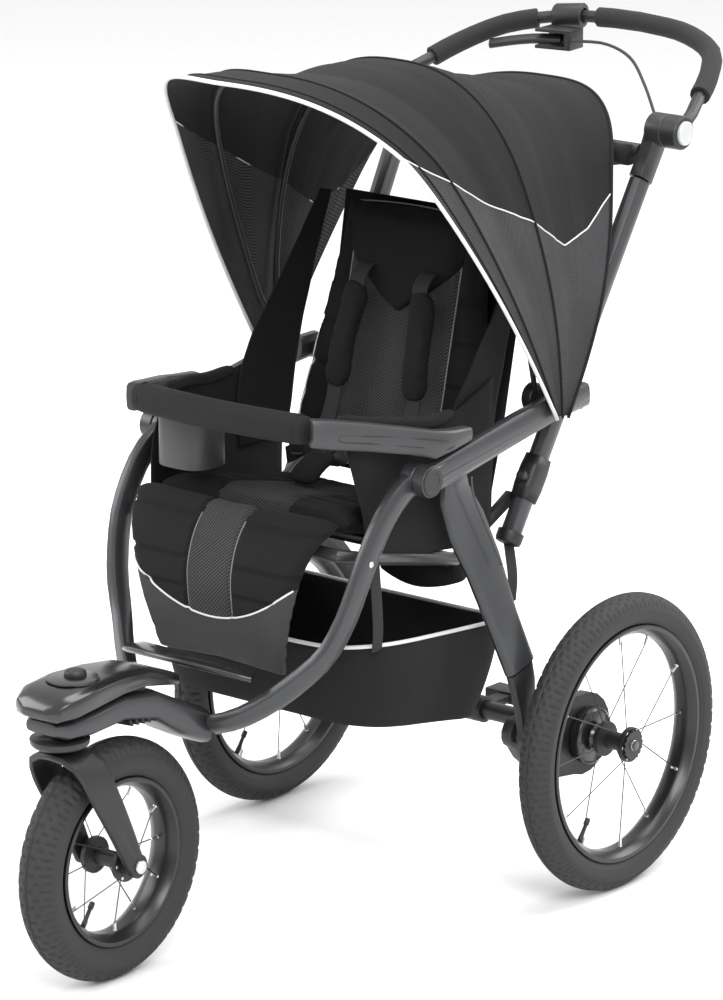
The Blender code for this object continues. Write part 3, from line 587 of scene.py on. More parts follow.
def ring_piece(name, outline, centre, count, material, body, slot, angle):
    """A closed outline of (x, radius) carried round a wheel. outline gives it for each step of the turn."""
    points = []
    for i in range(count):
        turn = 2 * pi * i / count
        points += [centre + Vector((x, cos(turn) * reach, sin(turn) * reach)) for x, reach in outline(i)]
    faces = grid_faces(count, len(points) // count, True, True)
    piece = mesh_piece(name, points, faces, material, body, slot)
    shade_by_angle(piece, angle)
    return piece


def tyre(node, body, centre, pitches, groove):
    """A moulded tyre: staggered tread blocks between ring grooves, shoulder lugs and raised wall lines."""
    low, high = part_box(node)
    outer = (high.z - low.z) / 2
    half = (high.x - low.x) / 2

    def outline(step):
        found = []
        for j in range(55):
            around = TYRE_SPREAD * (2 * j / 54 - 1)
            steep = abs(around) / TYRE_SPREAD
            reach = half
            if steep < 0.40:
                lane = int((around / TYRE_SPREAD + 0.40) / 0.80 * 6.999)
                ring = steep % 0.1143 < 0.022
                gap = (step + 3 * (lane % 2)) % 6 == 0
                reach = half - (groove if ring or gap else 0.0)
            elif steep < 0.52:
                reach = half - (groove * 0.8 if step % 3 == 0 else 0.0)
            elif 0.60 < steep < 0.63 or 0.80 < steep < 0.84:
                reach = half + 0.0006
            found.append((reach * sin(around), outer - half + reach * cos(around)))
        return found

    middle = Vector(((low.x + high.x) / 2, centre.y, centre.z))
    piece = ring_piece(node + "_tread", outline, middle, pitches * 6, RUBBER, body, "rubber", 40)
    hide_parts(node)


def wheel_rim(node, body, centre):
    """A box-section rim with rolled lips."""
    low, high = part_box(node)
    bed = (high.z - low.z) / 2
    half = (high.x - low.x) / 2
    right = [(half * 0.9, bed), (half, bed), (half + 0.0008, bed - 0.002), (half + 0.0002, bed - 0.0055),
             (half * 0.82, bed - 0.0085), (half * 0.47, bed - 0.0132), (half * 0.30, bed - 0.0140)]
    left = [(-x, reach) for x, reach in right[::-1]]
    profile = [left[-2], left[-1]] + right + left[:-2]
    piece = ring_piece(node + "_hoop", lambda step: profile, centre, 108, RIM, body, "black_plastic", 32)
    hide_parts(node)


def wheel_details(label, body, centre, rim_radius, spokes, flange):
    """Bright nipples where the spokes meet the rim, a valve, and the spoke heads on the hub's flanges."""
    nipples = []
    for i in range(spokes):
        angle = 2 * pi * i / spokes + 0.02
        sign = 1 if i % 2 else -1
        out = around_x(angle)
        start = centre + out * (rim_radius - 0.011) + X * 0.0045 * sign
        nipples.append(turned_shape([(-0.001, 0.0004), (0, 0.0021), (0.009, 0.0023), (0.012, 0.0034)],
                                    start, out, 10))
    mesh_piece(label + "_nipples", *joined(nipples), STEEL, body, "silver", smooth=False)
    out = around_x(4.1)
    inward = -out
    valve = [(-0.004, 0.0034), (0.004, 0.0034), (0.010, 0.0028), (0.022, 0.0026), (0.023, 0.0038),
             (0.031, 0.0036), (0.032, 0.002)]
    mesh_piece(label + "_valve", *turned_shape(valve, centre + out * (rim_radius - 0.004), inward, 14),
               BLACK, body, "black_plastic")
    heads = []
    for sign in (1, -1):
        for i in range(spokes // 2):
            angle = 4 * pi * i / spokes
            outward = around_x(angle)
            place = centre + X * sign * (flange[0] + 0.0028) + outward * (flange[1] - 0.004)
            heads.append(spoke_head_shape(place, X * sign, 0.0021, 0.0009))
    mesh_piece(label + "_spoke_heads", *joined(heads), STEEL, body, "silver", smooth=False)


tyre("front_tyre", "front_wheel", FRONT_AXLE, 46, 0.0024)
wheel_rim("front_rim", "front_wheel", FRONT_AXLE)
wheel_details("front_wheel", "front_wheel", FRONT_AXLE, 0.0949, 12, (0.026, 0.024))
for side, sign in SIDES:
    hub = REAR_AXLE + X * sign * REAR_TRACK / 2
    tyre("rear_tyre_" + side, "rear_wheel_" + side, hub, 62, 0.0022)
    wheel_rim("rear_rim_" + side, "rear_wheel_" + side, hub)
    wheel_details("rear_wheel_" + side, "rear_wheel_" + side, hub, 0.1456, 12, (0.020, 0.0235))


# ---- canopy ----

CANOPY_AXIS = at(0, 0.205, 0.668)
CANOPY_BOWS = ((50, 0.455), (63, 0.415), (78, 0.402), (93, 0.418), (111, 0.456), (120.5, 0.500), (131, 0.589))
MID_BOW = 94
FRONT_BOW = 123
CANOPY_END = 131
SIDE_STEPS = 26
TOP_STEPS = 44
SIDE_LINE = ((-0.180, 1.068), (-0.060, 1.027), (0.011, 0.990), (0.103, 0.944), (0.188, 0.904), (0.262, 0.862),
             (0.317, 0.874), (0.354, 0.898), (0.480, 0.960))


def between(table, value):
    """Straight-line reading of a table of (key, value)."""
    for (low, first), (high, second) in zip(table, table[1:]):
        if value <= high:
            share = max(0.0, (value - low) / (high - low))
            return first + (second - first) * share
    return table[-1][1]


def canopy_point(angle, u, lift=0.0):
    """A point on the canopy cloth: angle turns from rear to front, and u runs over it from hem to hem."""
    turn = pi * u
    share = signed_power(cos(turn), 0.8)
    tail = max(0.0, min(1.0, (abs(share) - 0.78) / 0.22))
    tail = tail * tail * (3 - 2 * tail)
    radius = between(CANOPY_BOWS, angle) + lift
    rise = 0.010 + (radius - 0.010) * abs(sin(turn)) ** 0.8
    lean = radians(90 + (angle - 90) * (1 - 0.22 * share * share))
    origin = CANOPY_AXIS + Vector((0, 0.012, -0.044)) * tail
    return origin + Vector((share * (0.2335 + lift + 0.0075 * tail), cos(lean) * rise, sin(lean) * rise))


def slack(angle, u):
    """How far the cloth hangs in between its bows, and its soft wrinkles."""
    bows = (50, MID_BOW, FRONT_BOW, CANOPY_END)
    sag = 0.0
    for low, high in zip(bows, bows[1:]):
        if low <= angle <= high:
            sag = sin(pi * (angle - low) / (high - low)) * min(0.012, (high - low) * 0.0003)
    ripple = noise.noise(Vector((angle * 0.11, u * 5.0, 3.0))) * 0.0035
    pleat = noise.noise(Vector((angle * 0.35, u * 2.2, 9.0))) * 0.0012
    return (ripple + pleat - sag) * sin(pi * u) ** 0.5


def side_share(angle):
    """The u at which a canopy rib crosses from side panel to top panel."""
    low, high = 0.02, 0.5
    for _ in range(24):
        middle = (low + high) / 2
        point = canopy_point(angle, middle) - DATUM
        if point.z < between(SIDE_LINE, point.y):
            low = middle
        else:
            high = middle
    return min(low, 0.46)


def rib(angle):
    """The u values of one rib: a side panel, the top panel, a side panel."""
    edge = side_share(angle)
    found = [0.004 + (edge - 0.004) * i / SIDE_STEPS for i in range(SIDE_STEPS)]
    found += [edge + (1 - 2 * edge) * i / TOP_STEPS for i in range(TOP_STEPS)]
    found += [1 - edge + (edge - 0.004) * i / SIDE_STEPS for i in range(SIDE_STEPS + 1)]
    return found


def fold_canopy(piece):
    """Bakes a canopy piece's placement into its mesh."""
    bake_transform(piece)


def canopy_sheet(name, start, end, steps, nodes):
    angles = [start + (end - start) * i / steps for i in range(steps + 1)]
    points, uvs = [], []
    for angle in angles:
        along = 0.0
        last = None
        for u in rib(angle):
            place = canopy_point(angle, u, 0.0016 + slack(angle, u))
            along += (place - last).length if last else 0.0
            last = place
            points.append(place)
            uvs.append((along, radians(angle) * 0.42))
    width = SIDE_STEPS * 2 + TOP_STEPS + 1
    piece = mesh_piece(name, points, grid_faces(steps + 1, width), [CANOPY_CLOTH, GRID_UV], None, "fabric")
    set_uv(piece, uvs)
    for face in piece.data.polygons:
        column = min(vertex % width for vertex in face.vertices)
        face.material_index = 1 if column < SIDE_STEPS or column >= SIDE_STEPS + TOP_STEPS else 0
    thicken(piece, 0.0014)
    fold_canopy(piece)
    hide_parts(*nodes)


def canopy_line(name, angle, radius, material):
    """Piping or a seam over the canopy from hem to hem."""
    path = [canopy_point(angle, 0.003 + 0.994 * i / 120, 0.003 + slack(angle, i / 120)) for i in range(121)]
    fold_canopy(tube(name, path, radius, material, None, "fabric", 8))


def panel_lines(label, start, end, steps):
    """The thin pale piping between the top panel and each side panel."""
    for side, mirror in SIDES:
        path = []
        for i in range(steps + 1):
            angle = start + (end - start) * i / steps
            u = side_share(angle)
            path.append(flip(canopy_point(angle, u, 0.0026 + slack(angle, u)), mirror))
        fold_canopy(tube(label + "_" + side, path, 0.0010, PIPING, None, "fabric", 6))


canopy_sheet("canopy_rear_cloth", 50, MID_BOW, 36, ["canopy_rear"])
canopy_sheet("canopy_front_cloth", MID_BOW, CANOPY_END, 32, ["canopy_middle", "canopy_visor"])
canopy_line("canopy_front_piping", CANOPY_END + 0.2, 0.0027, PIPING)
canopy_line("canopy_front_hem", CANOPY_END - 2.2, 0.0012, CANOPY_CLOTH)
canopy_line("canopy_bow_seam_front", FRONT_BOW, 0.0016, CANOPY_CLOTH)
canopy_line("canopy_bow_seam_mid", MID_BOW, 0.0018, CANOPY_CLOTH)
canopy_line("canopy_rear_hem", 50.2, 0.0022, CANOPY_CLOTH)
panel_lines("canopy_rear_panel_piping", 50, MID_BOW, 40)
panel_lines("canopy_front_panel_piping", MID_BOW, CANOPY_END, 36)


# ---- seat ----

CUSHION = ((0.126, 0.508, 1, 0.018), (0.060, 0.518, 1, 0.022), (-0.020, 0.538, 1, 0.022),
           (-0.100, 0.557, 1, 0.020), (-0.120, 0.560, 0.98, 0.015))
BACK = ((0.153, 0.548, 0.95, 0.010), (0.158, 0.570, 1, 0.0165), (0.177, 0.650, 1, 0.0175),
        (0.203, 0.770, 0.97, 0.0175), (0.219, 0.850, 0.90, 0.0165), (0.2275, 0.891, 0.74, 0.011))
LEG_REST = ((-0.1325, 0.559, 0.98, 0.011), (-0.152, 0.553, 1, 0.016), (-0.176, 0.528, 1, 0.018),
            (-0.190, 0.490, 1, 0.017), (-0.190, 0.450, 0.98, 0.015), (-0.183, 0.405, 0.92, 0.013),
            (-0.174, 0.372, 0.78, 0.010), (-0.170, 0.363, 0.66, 0.007))
STRIP = 0.058
BACK_STRIP = 0.090
LEG_STRIP = 0.036


def back_seams(point, normal):
    centre = seam(abs(abs(point.x) - BACK_STRIP), 0.006, 0.0045)
    rows = 0.0
    if abs(point.x) > BACK_STRIP and normal.y < -0.2:
        rows = max(seam(abs(point.z - z), 0.007, 0.0045) for z in (0.67, 0.725, 0.78))
    return max(centre if normal.y < -0.2 else 0.0, rows)


def seat_seams(point, normal):
    if normal.z < 0.2:
        return 0.0
    rows = max(seam(abs(point.y - DATUM.y - y), 0.007, 0.0045) for y in (-0.085, -0.040, 0.005, 0.050))
    return max(seam(abs(abs(point.x) - STRIP), 0.006, 0.0045), rows if abs(point.x) > STRIP else 0.0)


def kick_top(x):
    return 0.500 - 0.072 * max(0.0, 1 - (x / 0.150) ** 2)


def leg_seams(point, normal):
    if normal.y > -0.1 and normal.z < 0.2:
        return 0.0
    if point.z < kick_top(point.x):
        return 0.0
    rows = max(seam(abs(point.z - z), 0.006, 0.0042) for z in (0.552, 0.500, 0.462))
    return max(seam(abs(abs(point.x) - LEG_STRIP), 0.005, 0.004), rows if abs(point.x) > LEG_STRIP else 0.0)


back_pad = pad("back_pad", BACK, 0.160, "seat_back")
sew(back_pad, back_seams)
paint(back_pad, [SEAT_CLOTH, GRID_XZ], lambda c, n: 1 if abs(c.x) < BACK_STRIP and n.y < 0 else 0)
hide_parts("back_cushion")
seat_pad = pad("seat_pad", CUSHION, 0.164, "root")
sew(seat_pad, seat_seams)
paint(seat_pad, [SEAT_CLOTH, GRID_XZ], lambda c, n: 1 if abs(c.x) < STRIP and n.z > 0 else 0)
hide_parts("seat_cushion")
leg_pad = pad("leg_rest_pad", LEG_REST, 0.164, "root", cap=0.006)
sew(leg_pad, leg_seams)


def leg_material(centre, normal):
    if normal.y > 0.2:
        return 0
    if centre.z < kick_top(centre.x):
        return 2
    return 1 if abs(centre.x) < LEG_STRIP else 0


paint(leg_pad, [SEAT_CLOTH, GRID_XZ, KICK_CLOTH], leg_material)
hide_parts("leg_rest")


# ---- seat trim and harness ----

WEB_HALF = 0.0115
WEB_THICKNESS = 0.0018


def trim(name, tree, points, direction, radius, material, body, lift=0.0):
    """A thin line of piping or stitching laid on a pad."""
    path = cast(tree, [Vector(p) for p in points], direction, lift)
    if len(path) > 3:
        tube(name, path, radius, material, body, "fabric", 6)


back_tree = surface_tree(back_pad)
leg_tree = surface_tree(leg_pad)
for side, sign in SIDES:
    edge = [(sign * BACK_STRIP, 0.0, 0.565 + 0.0032 * i) for i in range(96)]
    trim("back_strip_piping_" + side, back_tree, edge, Y, 0.0011, STITCH, "seat_back", 0.0004)
    edge = [(sign * LEG_STRIP, -0.35, 0.436 + 0.0025 * i) for i in range(48)]
    trim("leg_strip_stitching_" + side, leg_tree, edge, Y, 0.0009, STITCH, "root", 0.0003)
    edge = [(sign * (0.150 - 0.012 * sin(pi * i / 70)), 0.0, 0.565 + 0.0044 * i) for i in range(70)]
    trim("back_edge_piping_" + side, back_tree, edge, Y, 0.0013, PIPING, "seat_back", 0.0004)
kick_edge = [(0.160 * (i - 40) / 40, -0.35, kick_top(0.160 * (i - 40) / 40) + 0.001) for i in range(81)]
trim("kick_panel_piping", leg_tree, kick_edge, Y, 0.0014, PIPING, "root", 0.0004)


def small_pad(name, path, half, thick, body, material, cap=0.003):
    """A short padded sleeve along a path, narrower and rounded at both ends."""
    ends = 0.55
    count = 24
    centres = smooth_path(path, count)
    sections = []
    for i in range(count):
        close = min(1.0, min(i, count - 1 - i) / 3.0)
        share = ends + (1 - ends) * sin(close * pi / 2)
        sections.append(squircle(half * share, thick * (0.45 + 0.55 * share), 24, 0.6))
    piece = mesh_piece(name, *swept(centres, sections, X), material, None, "fabric")
    inflate(piece, 0.004, cap)
    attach(piece, body)
    return piece


for side, sign in SIDES:
    line = at_side(sign, (0.052, 0.1605, 0.792), (0.056, 0.1595, 0.770), (0.062, 0.1425, 0.710),
                   (0.065, 0.1310, 0.655))
    shoulder = small_pad("shoulder_cushion_" + side, line, 0.0205, 0.0075, "seat_back", SEAT_CLOTH)
    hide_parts("shoulder_pad_" + side)
    upper = at_side(sign, (0.050, 0.192, 0.812), (0.051, 0.178, 0.812), (0.052, 0.162, 0.798),
                    (0.053, 0.160, 0.784))
    strap("shoulder_web_upper_" + side, smooth_path(upper, 20), 0.0125, WEB_THICKNESS, "seat_back")
    lower = at_side(sign, (0.065, 0.1310, 0.665), (0.066, 0.1270, 0.640), (0.064, 0.115, 0.618),
                    (0.050, 0.088, 0.604), (0.034, 0.064, 0.602), (0.026, 0.052, 0.601))
    strap("shoulder_web_lower_" + side, smooth_path(lower, 30), WEB_HALF, WEB_THICKNESS, "root")
    lap = at_side(sign, (0.027, 0.052, 0.598), (0.050, 0.066, 0.590), (0.090, 0.092, 0.574),
                  (0.128, 0.118, 0.556), (0.150, 0.132, 0.546))
    strap("lap_web_" + side, smooth_path(lap, 34), WEB_HALF, WEB_THICKNESS, "root", Z)
    glide = at(sign * 0.088, 0.0895, 0.576)
    loop = squircle(0.017, 0.0085, 20, 0.5)
    frame_path = [glide + Vector((u * 0.75 * sign, u * 0.5 * sign, -u * 0.1)) + Z * v for u, v in loop]
    tube("lap_adjuster_" + side, frame_path, 0.0016, BLACK, "root", "black_plastic", 8, closed=True)
crotch = at_side(1, (0, 0.030, 0.594), (0, 0.014, 0.588), (0, -0.006, 0.578), (0, -0.020, 0.566))
small_pad("crotch_cushion", crotch, 0.024, 0.0055, "root", SEAT_CLOTH)


def head_panel():
    """A shield-shaped padded head panel, wide at the top and pointed below, on the front of the back pad."""
    columns, rows = 41, 31
    points = []
    for layer in (1, 0):
        for k in range(rows):
            down = k / (rows - 1)
            wide = 0.098 * (1 - 0.10 * down) if down < 0.45 else 0.0936 * (1 - ((down - 0.45) / 0.55) ** 1.25)
            wide = max(wide, 0.004)
            for i in range(columns):
                share = (i / (columns - 1) - 0.5) * 2
                x = wide * share
                z = 0.884 - 0.128 * down + 0.010 * (1 - share * share) * (1 - down) * 0.6
                hit = back_tree.ray_cast(Vector((x, -0.1, z)), Y, 0.6)[0]
                y = hit.y if hit else at(0, 0.218, 0).y
                puff = 0.0105 * (1 - share ** 6) * (1 - (2 * down - 1) ** 6) * layer
                points.append(Vector((x, y - puff - 0.0005 * layer, z)))
    half = rows * columns
    front = grid_faces(rows, columns)
    faces = front + [[half + i for i in face] for face in front]
    border = list(range(columns))
    border += [k * columns + columns - 1 for k in range(1, rows)]
    border += [(rows - 1) * columns + i for i in range(columns - 2, -1, -1)]
    border += [k * columns for k in range(rows - 2, 0, -1)]
    for a, b in zip(border, border[1:] + border[:1]):
        faces.append([a, b, half + b, half + a])
    panel = mesh_piece("head_cushion", points, faces, SEAT_CLOTH, None, "fabric")
    smoother = panel.modifiers.new("rounder", "SMOOTH")
    smoother.factor = 0.5
    smoother.iterations = 3
    settle(panel)
    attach(panel, "seat_back")
    edge = [points[i] + Vector((0, 0.0035, 0)) for i in border]
    tube("head_cushion_piping", edge[::2], 0.0011, STITCH, "seat_back", "fabric", 6, closed=True)


head_panel()


SHEET_STEPS = 24
CLOTH_THICKNESS = 0.0016


def cloth_sheet(name, rows, material, body, flat):
    """A stretched sheet of cloth through rows of points, each row smoothed."""
    columns = [smooth_path(row, SHEET_STEPS) for row in rows]
    across = [smooth_path([column[i] for column in columns], SHEET_STEPS) for i in range(SHEET_STEPS)]
    points = [point for line in across for point in line]
    for index, point in enumerate(points):
        points[index] = point + Vector((noise.noise(point * 22), noise.noise(point * 22 + Z), 0)) * 0.0022
    piece = mesh_piece(name, points, grid_faces(SHEET_STEPS, SHEET_STEPS), material, None, "fabric")
    set_uv(piece, [(i // SHEET_STEPS * flat[0] / SHEET_STEPS, i % SHEET_STEPS * flat[1] / SHEET_STEPS)
                   for i in range(len(points))])
    thicken(piece, CLOTH_THICKNESS)
    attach(piece, body)


for side, sign in SIDES:
    front_edge = at_side(sign, (0.141, -0.116, 0.692), (0.160, -0.118, 0.640), (0.176, -0.112, 0.575),
                         (0.178, -0.104, 0.505))
    middle = at_side(sign, (0.176, -0.040, 0.676), (0.182, -0.030, 0.622), (0.181, -0.020, 0.565),
                     (0.180, -0.020, 0.500))
    rear = at_side(sign, (0.184, 0.060, 0.672), (0.183, 0.066, 0.610), (0.181, 0.072, 0.555),
                   (0.179, 0.072, 0.490))
    end = at_side(sign, (0.176, 0.156, 0.700), (0.176, 0.156, 0.620), (0.176, 0.154, 0.550),
                  (0.176, 0.150, 0.478))
    cloth_sheet("seat_side_" + side, [front_edge, middle, rear, end], CANOPY_CLOTH, "root", (0.310, 0.210))
    roll = at_side(sign, (0.141, -0.119, 0.692), (0.160, -0.080, 0.684), (0.177, -0.035, 0.677),
                   (0.184, 0.015, 0.670), (0.184, 0.060, 0.673))
    small_pad("seat_side_roll_" + side, roll, 0.0075, 0.0080, "root", PAD_CLOTH, 0.002)
    wing_front = at_side(sign, (0.158, 0.214, 0.893), (0.176, 0.165, 0.800), (0.180, 0.105, 0.722),
                         (0.176, 0.064, 0.655), (0.170, 0.060, 0.570))
    wing_rear = at_side(sign, (0.154, 0.232, 0.889), (0.166, 0.212, 0.800), (0.168, 0.190, 0.722),
                        (0.168, 0.172, 0.655), (0.168, 0.155, 0.570))
    cloth_sheet("back_wing_" + side, [wing_front, wing_rear], SEAT_CLOTH, "seat_back", (0.115, 0.340))


# ---- padded front bar ----


def bar_cover():
    """The cloth sleeve of the front bar, with puckers at its ends and a seam along its rear."""
    count = 90
    path = []
    for i in range(count):
        turn = (i / (count - 1) - 0.5) * 2
        path.append(at(0.1375 * turn, -0.176 - 0.010 * cos(turn * pi / 2), 0.690))
    sections = []
    for i in range(count):
        share = i / (count - 1)
        end = min(share, 1 - share)
        swell = 0.90 + 0.10 * min(1.0, end / 0.06)
        pucker = 0.012 * sin(share * 95) * max(0.0, 1 - end / 0.10)
        half_u = (0.0163 + 0.0004 * noise.noise(Vector((share * 14, 0, 0)))) * (swell + pucker)
        half_v = (0.0192 + 0.0004 * noise.noise(Vector((share * 14, 5, 0)))) * (swell + pucker)
        sections.append(squircle(half_u, half_v, 32, 0.8))
    piece = mesh_piece("front_bar_sleeve", *swept(path, sections, Y), PAD_CLOTH, "root", "fabric")
    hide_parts("tray_bar")
    rear = [p + Vector((0, 0.0160, -0.0035)) for p in path[2:-2]]
    tube("front_bar_seam", rear, 0.0011, STITCH, "root", "fabric", 6)
    for side, sign in SIDES:
        centre = at(sign * 0.128, -0.1764, 0.690)
        turns = [2 * pi * i / 32 for i in range(32)]
        ring = [centre + Vector((0, 0.0163 * cos(turn), 0.0190 * sin(turn))) for turn in turns]
        tube("front_bar_hem_" + side, ring, 0.0010, CANOPY_CLOTH, "root", "fabric", 6, closed=True)


bar_cover()


# ---- basket ----

BASKET_HALF = 0.195
BASKET_LEVELS = 28
BASKET_RING = 72


def basket_point(turn, depth):
    """A point on the basket: turn goes round it, and depth runs from 0 at its rim to 1 at its middle."""
    c, s = cos(turn), sin(turn)
    wall = min(depth / 0.55, 1.0)
    floor = max(0.0, (depth - 0.55) / 0.45)
    spread = (1 - 0.10 * wall ** 2) * (1 - floor ** 1.3)
    along = signed_power(s, 0.40)
    x = BASKET_HALF * spread * signed_power(c, 0.40)
    y_mid = 0.038 - 0.012 * wall
    y = y_mid + (0.164 - 0.032 * wall) * along * (1 - floor ** 1.3)
    ratio = (y + 0.128) / 0.332
    rim_z = 0.403 - 0.030 * ratio - 0.010 * (1 - abs(c) ** 2) * abs(s)
    floor_z = 0.292 - 0.058 * ratio - 0.010 * floor
    z = rim_z + (floor_z - rim_z) * wall ** 0.9
    crease = noise.noise(Vector((x * 16, y * 16, z * 9))) * 0.005 * min(1.0, depth * 6)
    return at(x * (1 + crease), y + crease * along, max(z + crease * 0.6, 0.220))


points = []
uvs = []
for level in range(BASKET_LEVELS):
    for i in range(BASKET_RING):
        depth = min(level / (BASKET_LEVELS - 1), 0.985)
        points.append(basket_point(2 * pi * i / BASKET_RING, depth))
        uvs.append((1.1 * i / BASKET_RING, depth * 0.3))
bottom = list(range((BASKET_LEVELS - 1) * BASKET_RING, BASKET_LEVELS * BASKET_RING))
faces = [bottom] + grid_faces(BASKET_LEVELS, BASKET_RING, False, True)
basket = mesh_piece("basket_bag", points, faces, CANOPY_CLOTH, None, "fabric")
set_uv(basket, uvs)
thicken(basket, CLOTH_THICKNESS)
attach(basket, "root")
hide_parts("basket")
rim_path = [basket_point(2 * pi * i / 120, 0.0) for i in range(120)]
basket_rim = tube("basket_rim_piping", rim_path, 0.0026, PIPING, "root", "fabric", 8, closed=True)
squashed = [basket, basket_rim]
for side, sign in SIDES:
    for label, y in (("front", -0.100), ("rear", 0.180)):
        top = between(((-0.120, 0.520), (0.200, 0.470)), y)
        hanger = at_side(sign, (0.190, y, 0.395), (0.192, y, 0.430), (0.182, y + 0.004, top))
        name = "basket_hanger_%s_%s" % (label, side)
        squashed.append(strap(name, smooth_path(hanger, 16), 0.010, CLOTH_THICKNESS, "root", Y))
for piece in squashed:
    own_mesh(piece)


# ---- fittings ----


def studs(name, places, axis, radius, body):
    """Small domed rivets that face along the axis."""
    height = 0.0012
    dome = [(-0.0008, radius), (height * 0.4, radius), (height, radius * 0.6), (height * 1.15, 0)]
    domes = [turned_shape(dome, place, axis, 16) for place in places]
    mesh_piece(name, *joined(domes), STEEL, body, "silver")


def disc(name, centre, axis, profile, material, body, slot="black_plastic", count=32):
    """A round cap or knob. profile is (distance along the axis, radius)."""
    piece = mesh_piece(name, *turned_shape(profile, centre, axis, count), material, body, slot)
    shade_by_angle(piece, 40)


GEAR_TEETH = 16
TRAY_DEPTH = ((-0.177, 0.1565), (-0.156, 0.168), (-0.108, 0.190), (-0.060, 0.218), (-0.030, 0.234),
              (0.036, 0.2368))


for side, sign in SIDES:
    out = X * sign
    studs("front_leg_rivet_" + side, [at(sign * 0.2125, -0.1385, 0.521)], out, 0.0042, "front_frame")
    pivot = at(sign * 0.2358, -0.045, 0.612)
    disc("armrest_nose_cap_" + side, pivot, out,
         [(-0.001, 0.0190), (0.0012, 0.0190), (0.0024, 0.0176), (0.0024, 0.0125), (0.0016, 0.0118),
          (0.0016, 0)], BLACK, "root")
    drum = REAR_AXLE + out * 0.2540
    bolts = [drum + around_x(a) * 0.0270 for a in (0.5, 1.55, 2.6, 3.64, 4.69, 5.74)]
    studs("drum_bolts_" + side, bolts, out, 0.0022, "suspension")
    plate = at_side(sign, (0.2410, 0.165, 0.218), (0.2410, 0.200, 0.246), (0.2410, 0.205, 0.176))
    studs("suspension_rivets_" + side, plate, out, 0.0040, "suspension")
    disc("rear_axle_cap_" + side, REAR_AXLE + out * (REAR_TRACK / 2 + 0.0248), out,
         [(-0.002, 0.0070), (0.0030, 0.0070), (0.0042, 0.0058), (0.0042, 0.0030), (0.0030, 0.0026),
          (0.0030, 0)], STEEL, "rear_wheel_" + side, "silver")
    flange = REAR_AXLE + out * (REAR_TRACK / 2 + 0.0240)
    count = 4 * GEAR_TEETH
    outline = []
    for i in range(count):
        turn = 2 * pi * i / count
        outline.append(flange + around_x(turn) * (0.0205 if i % 4 < 2 else 0.0185))
    ring = outline + [point + out * 0.0025 for point in outline]
    gear = grid_faces(2, count, False, True) + [list(range(count))[::-1], list(range(count, 2 * count))]
    mesh_piece("rear_hub_flange_" + side, ring, gear, BLACK, "rear_wheel_" + side, "black_plastic",
               smooth=False)
    low = at(sign * 0.186, 0.178, 0.478)
    high = at(sign * 0.205, 0.433, 0.917)
    along = (high - low).normalized()
    disc("tube_end_cap_" + side, low, -along,
         [(-0.012, 0.0178), (-0.001, 0.0178), (0.0035, 0.0165), (0.0050, 0.0120), (0.0050, 0)], BLACK, "root")
    block = low.lerp(high, 0.17)
    path = [block - along * 0.030, block - along * 0.012, block + along * 0.012, block + along * 0.030]
    narrow, wide = squircle(0.0135, 0.0170, 16, 0.5), squircle(0.0150, 0.0185, 16, 0.5)
    sections = [narrow, wide, wide, narrow]
    mesh_piece("tube_lock_" + side, *swept(path, sections, X), BLACK, "root", "black_plastic")
    disc("tube_lock_knob_" + side, block + Vector((sign * 0.004, -0.017, 0.006)), Vector((0, -0.87, 0.50)),
         [(-0.004, 0.0060), (0.004, 0.0060), (0.008, 0.0075), (0.012, 0.0070), (0.014, 0.0040), (0.014, 0)],
         BLACK, "root")
    panel = ((-0.150, 0.6830), (-0.120, 0.6790), (-0.080, 0.6730), (-0.030, 0.6635), (-0.006, 0.6580),
             (0.002, 0.6520), (-0.012, 0.6480), (-0.050, 0.6560), (-0.100, 0.6660), (-0.140, 0.6730),
             (-0.152, 0.6770))
    groove = at_side(sign, *[(between(TRAY_DEPTH, y) + 0.0002, y, z) for y, z in panel])
    dense = smooth_path(groove + groove[:1], 60)[:-1]
    tube("tray_panel_line_" + side, dense, 0.0010, BLACK, "root", "black_plastic", 6, closed=True)
    ridge = at_side(sign, (0.2295, 0.042, 0.600), (0.2305, 0.046, 0.575), (0.2330, 0.068, 0.530),
                    (0.2415, 0.091, 0.475))
    tube("rear_leg_ridge_" + side, smooth_path(ridge, 24), 0.0016, CHARCOAL, "rear_frame", "charcoal", 6)
plateau = [(-0.001, 0.034), (0.0006, 0.034), (0.0016, 0.031), (0.0016, 0.0)]
disc("front_arm_plateau", at(0, -0.462, 0.4105), Z, plateau, GLOSS, "front_frame", "gloss_black", 48)
ribs = []
for i in range(9):
    y = -0.395 + 0.011 * i
    bar = [at(-0.028, y, 0.338 - 0.10 * (y + 0.395)), at(0.028, y + 0.010, 0.338 - 0.10 * (y + 0.395))]
    ribs.append(swept(bar, squircle(0.0022, 0.0060, 8, 0.5)))
mesh_piece("under_arm_ribs", *joined(ribs), BLACK, "front_frame", "black_plastic", smooth=False)
pouch = []
pouch_sections = []
for i in range(12):
    share = i / 11
    swell = 0.55 + 0.45 * sin(pi * (i + 0.5) / 12)
    pouch.append(at(0.060 + 0.110 * share, 0.085 + 0.012 * share, 0.452 - 0.004 * sin(pi * share)))
    pouch_sections.append(squircle(0.030 * swell, 0.024 * swell, 20, 0.8))
under_pouch = mesh_piece("under_seat_pouch", *swept(pouch, pouch_sections, Y), SEAT_CLOTH, "root", "fabric")
flap = []
flap_sections = []
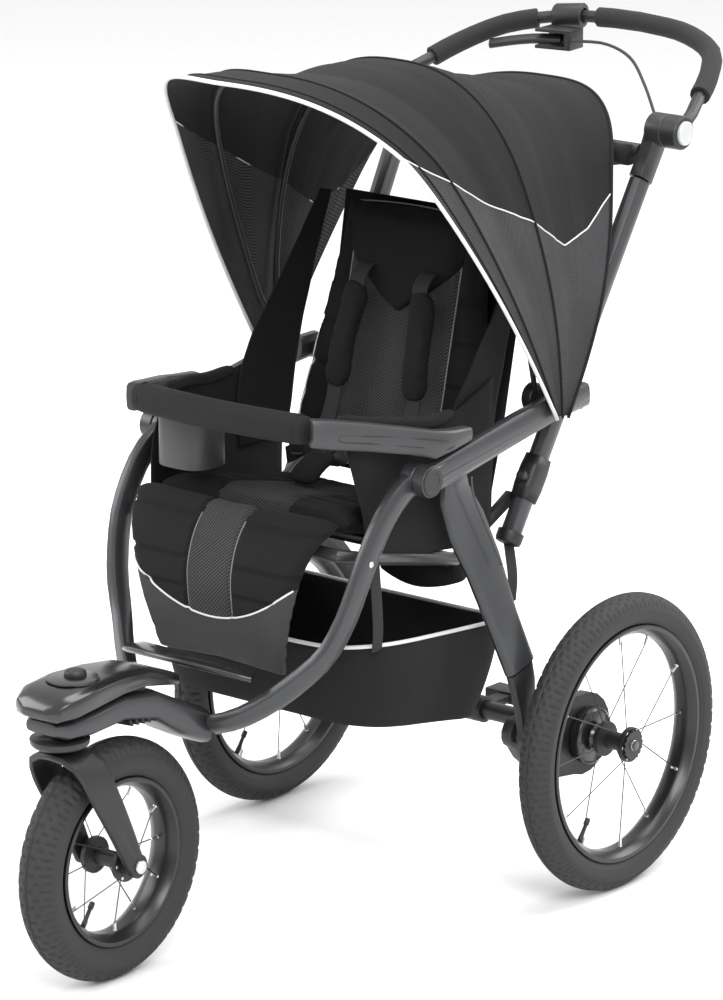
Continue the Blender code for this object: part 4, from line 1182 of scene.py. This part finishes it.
for i in range(40):
    flap.append(at(-0.186 + 0.372 * i / 39, 0.440 + 0.004 * sin(i * 1.1), 0.944 - 0.003 * cos(i * 0.9)))
    flap_sections.append(squircle(0.017 + 0.0012 * sin(i * 1.7), 0.0135, 20, 0.8))
rolled = mesh_piece("rolled_rear_flap", *swept(flap, flap_sections, Y), CANOPY_CLOTH, "root", "fabric")


# ---- stage ----


def make_stage():
    floor_material, tree, shader = shader_of("studio_floor", 0.75)
    coords = tree.nodes.new("ShaderNodeTexCoord").outputs["Object"]
    tint(tree, shader, speckle(tree, coords, 40.0, 3.0), (0.80, 0.80, 0.80), (0.86, 0.86, 0.86))
    size = 9.0
    cells = 18
    points = []
    for k in range(cells + 1):
        for i in range(cells + 1):
            points.append(Vector(((i / cells - 0.5) * 2 * size, (k / cells - 0.5) * 2 * size, 0)))
    faces = grid_faces(cells + 1, cells + 1)
    floor = mesh_piece("studio_floor", points, faces, floor_material, None, "fabric")
    world = bpy.data.worlds.new("studio_world")
    bpy.context.scene.world = world
    world.use_nodes = True
    world.node_tree.nodes["Background"].inputs["Color"].default_value = (1.0, 1.0, 1.0, 1)
    world.node_tree.nodes["Background"].inputs["Strength"].default_value = 0.95
    for name, place, target, power, width in (
            ("key_light", (3.2, -2.8, 3.8), (0, 0, 0.5), 210, 2.4),
            ("fill_light", (-3.4, -2.2, 2.6), (0, 0, 0.5), 110, 2.6),
            ("top_light", (0.2, 0.6, 4.2), (0, 0, 0.5), 150, 3.0),
            ("rear_light", (1.6, 3.4, 2.6), (0, 0, 0.6), 90, 2.2)):
        data = bpy.data.lights.new(name, "AREA")
        data.energy = power
        data.size = width
        light = placed(name, data)
        light.location = place
        light.rotation_euler = (Vector(target) - Vector(place)).to_track_quat("-Z", "Y").to_euler()


def make_camera():
    data = bpy.data.cameras.new("photo_camera")
    data.lens = 186.04
    camera = placed("photo_camera", data)
    camera.location = (4.0973, -5.0376, 2.3249)
    camera.rotation_euler = (radians(90 - 15.510), 0, radians(38.938))
    bpy.context.scene.camera = camera
    bpy.context.scene.view_settings.view_transform = "Standard"


make_stage()
make_camera()
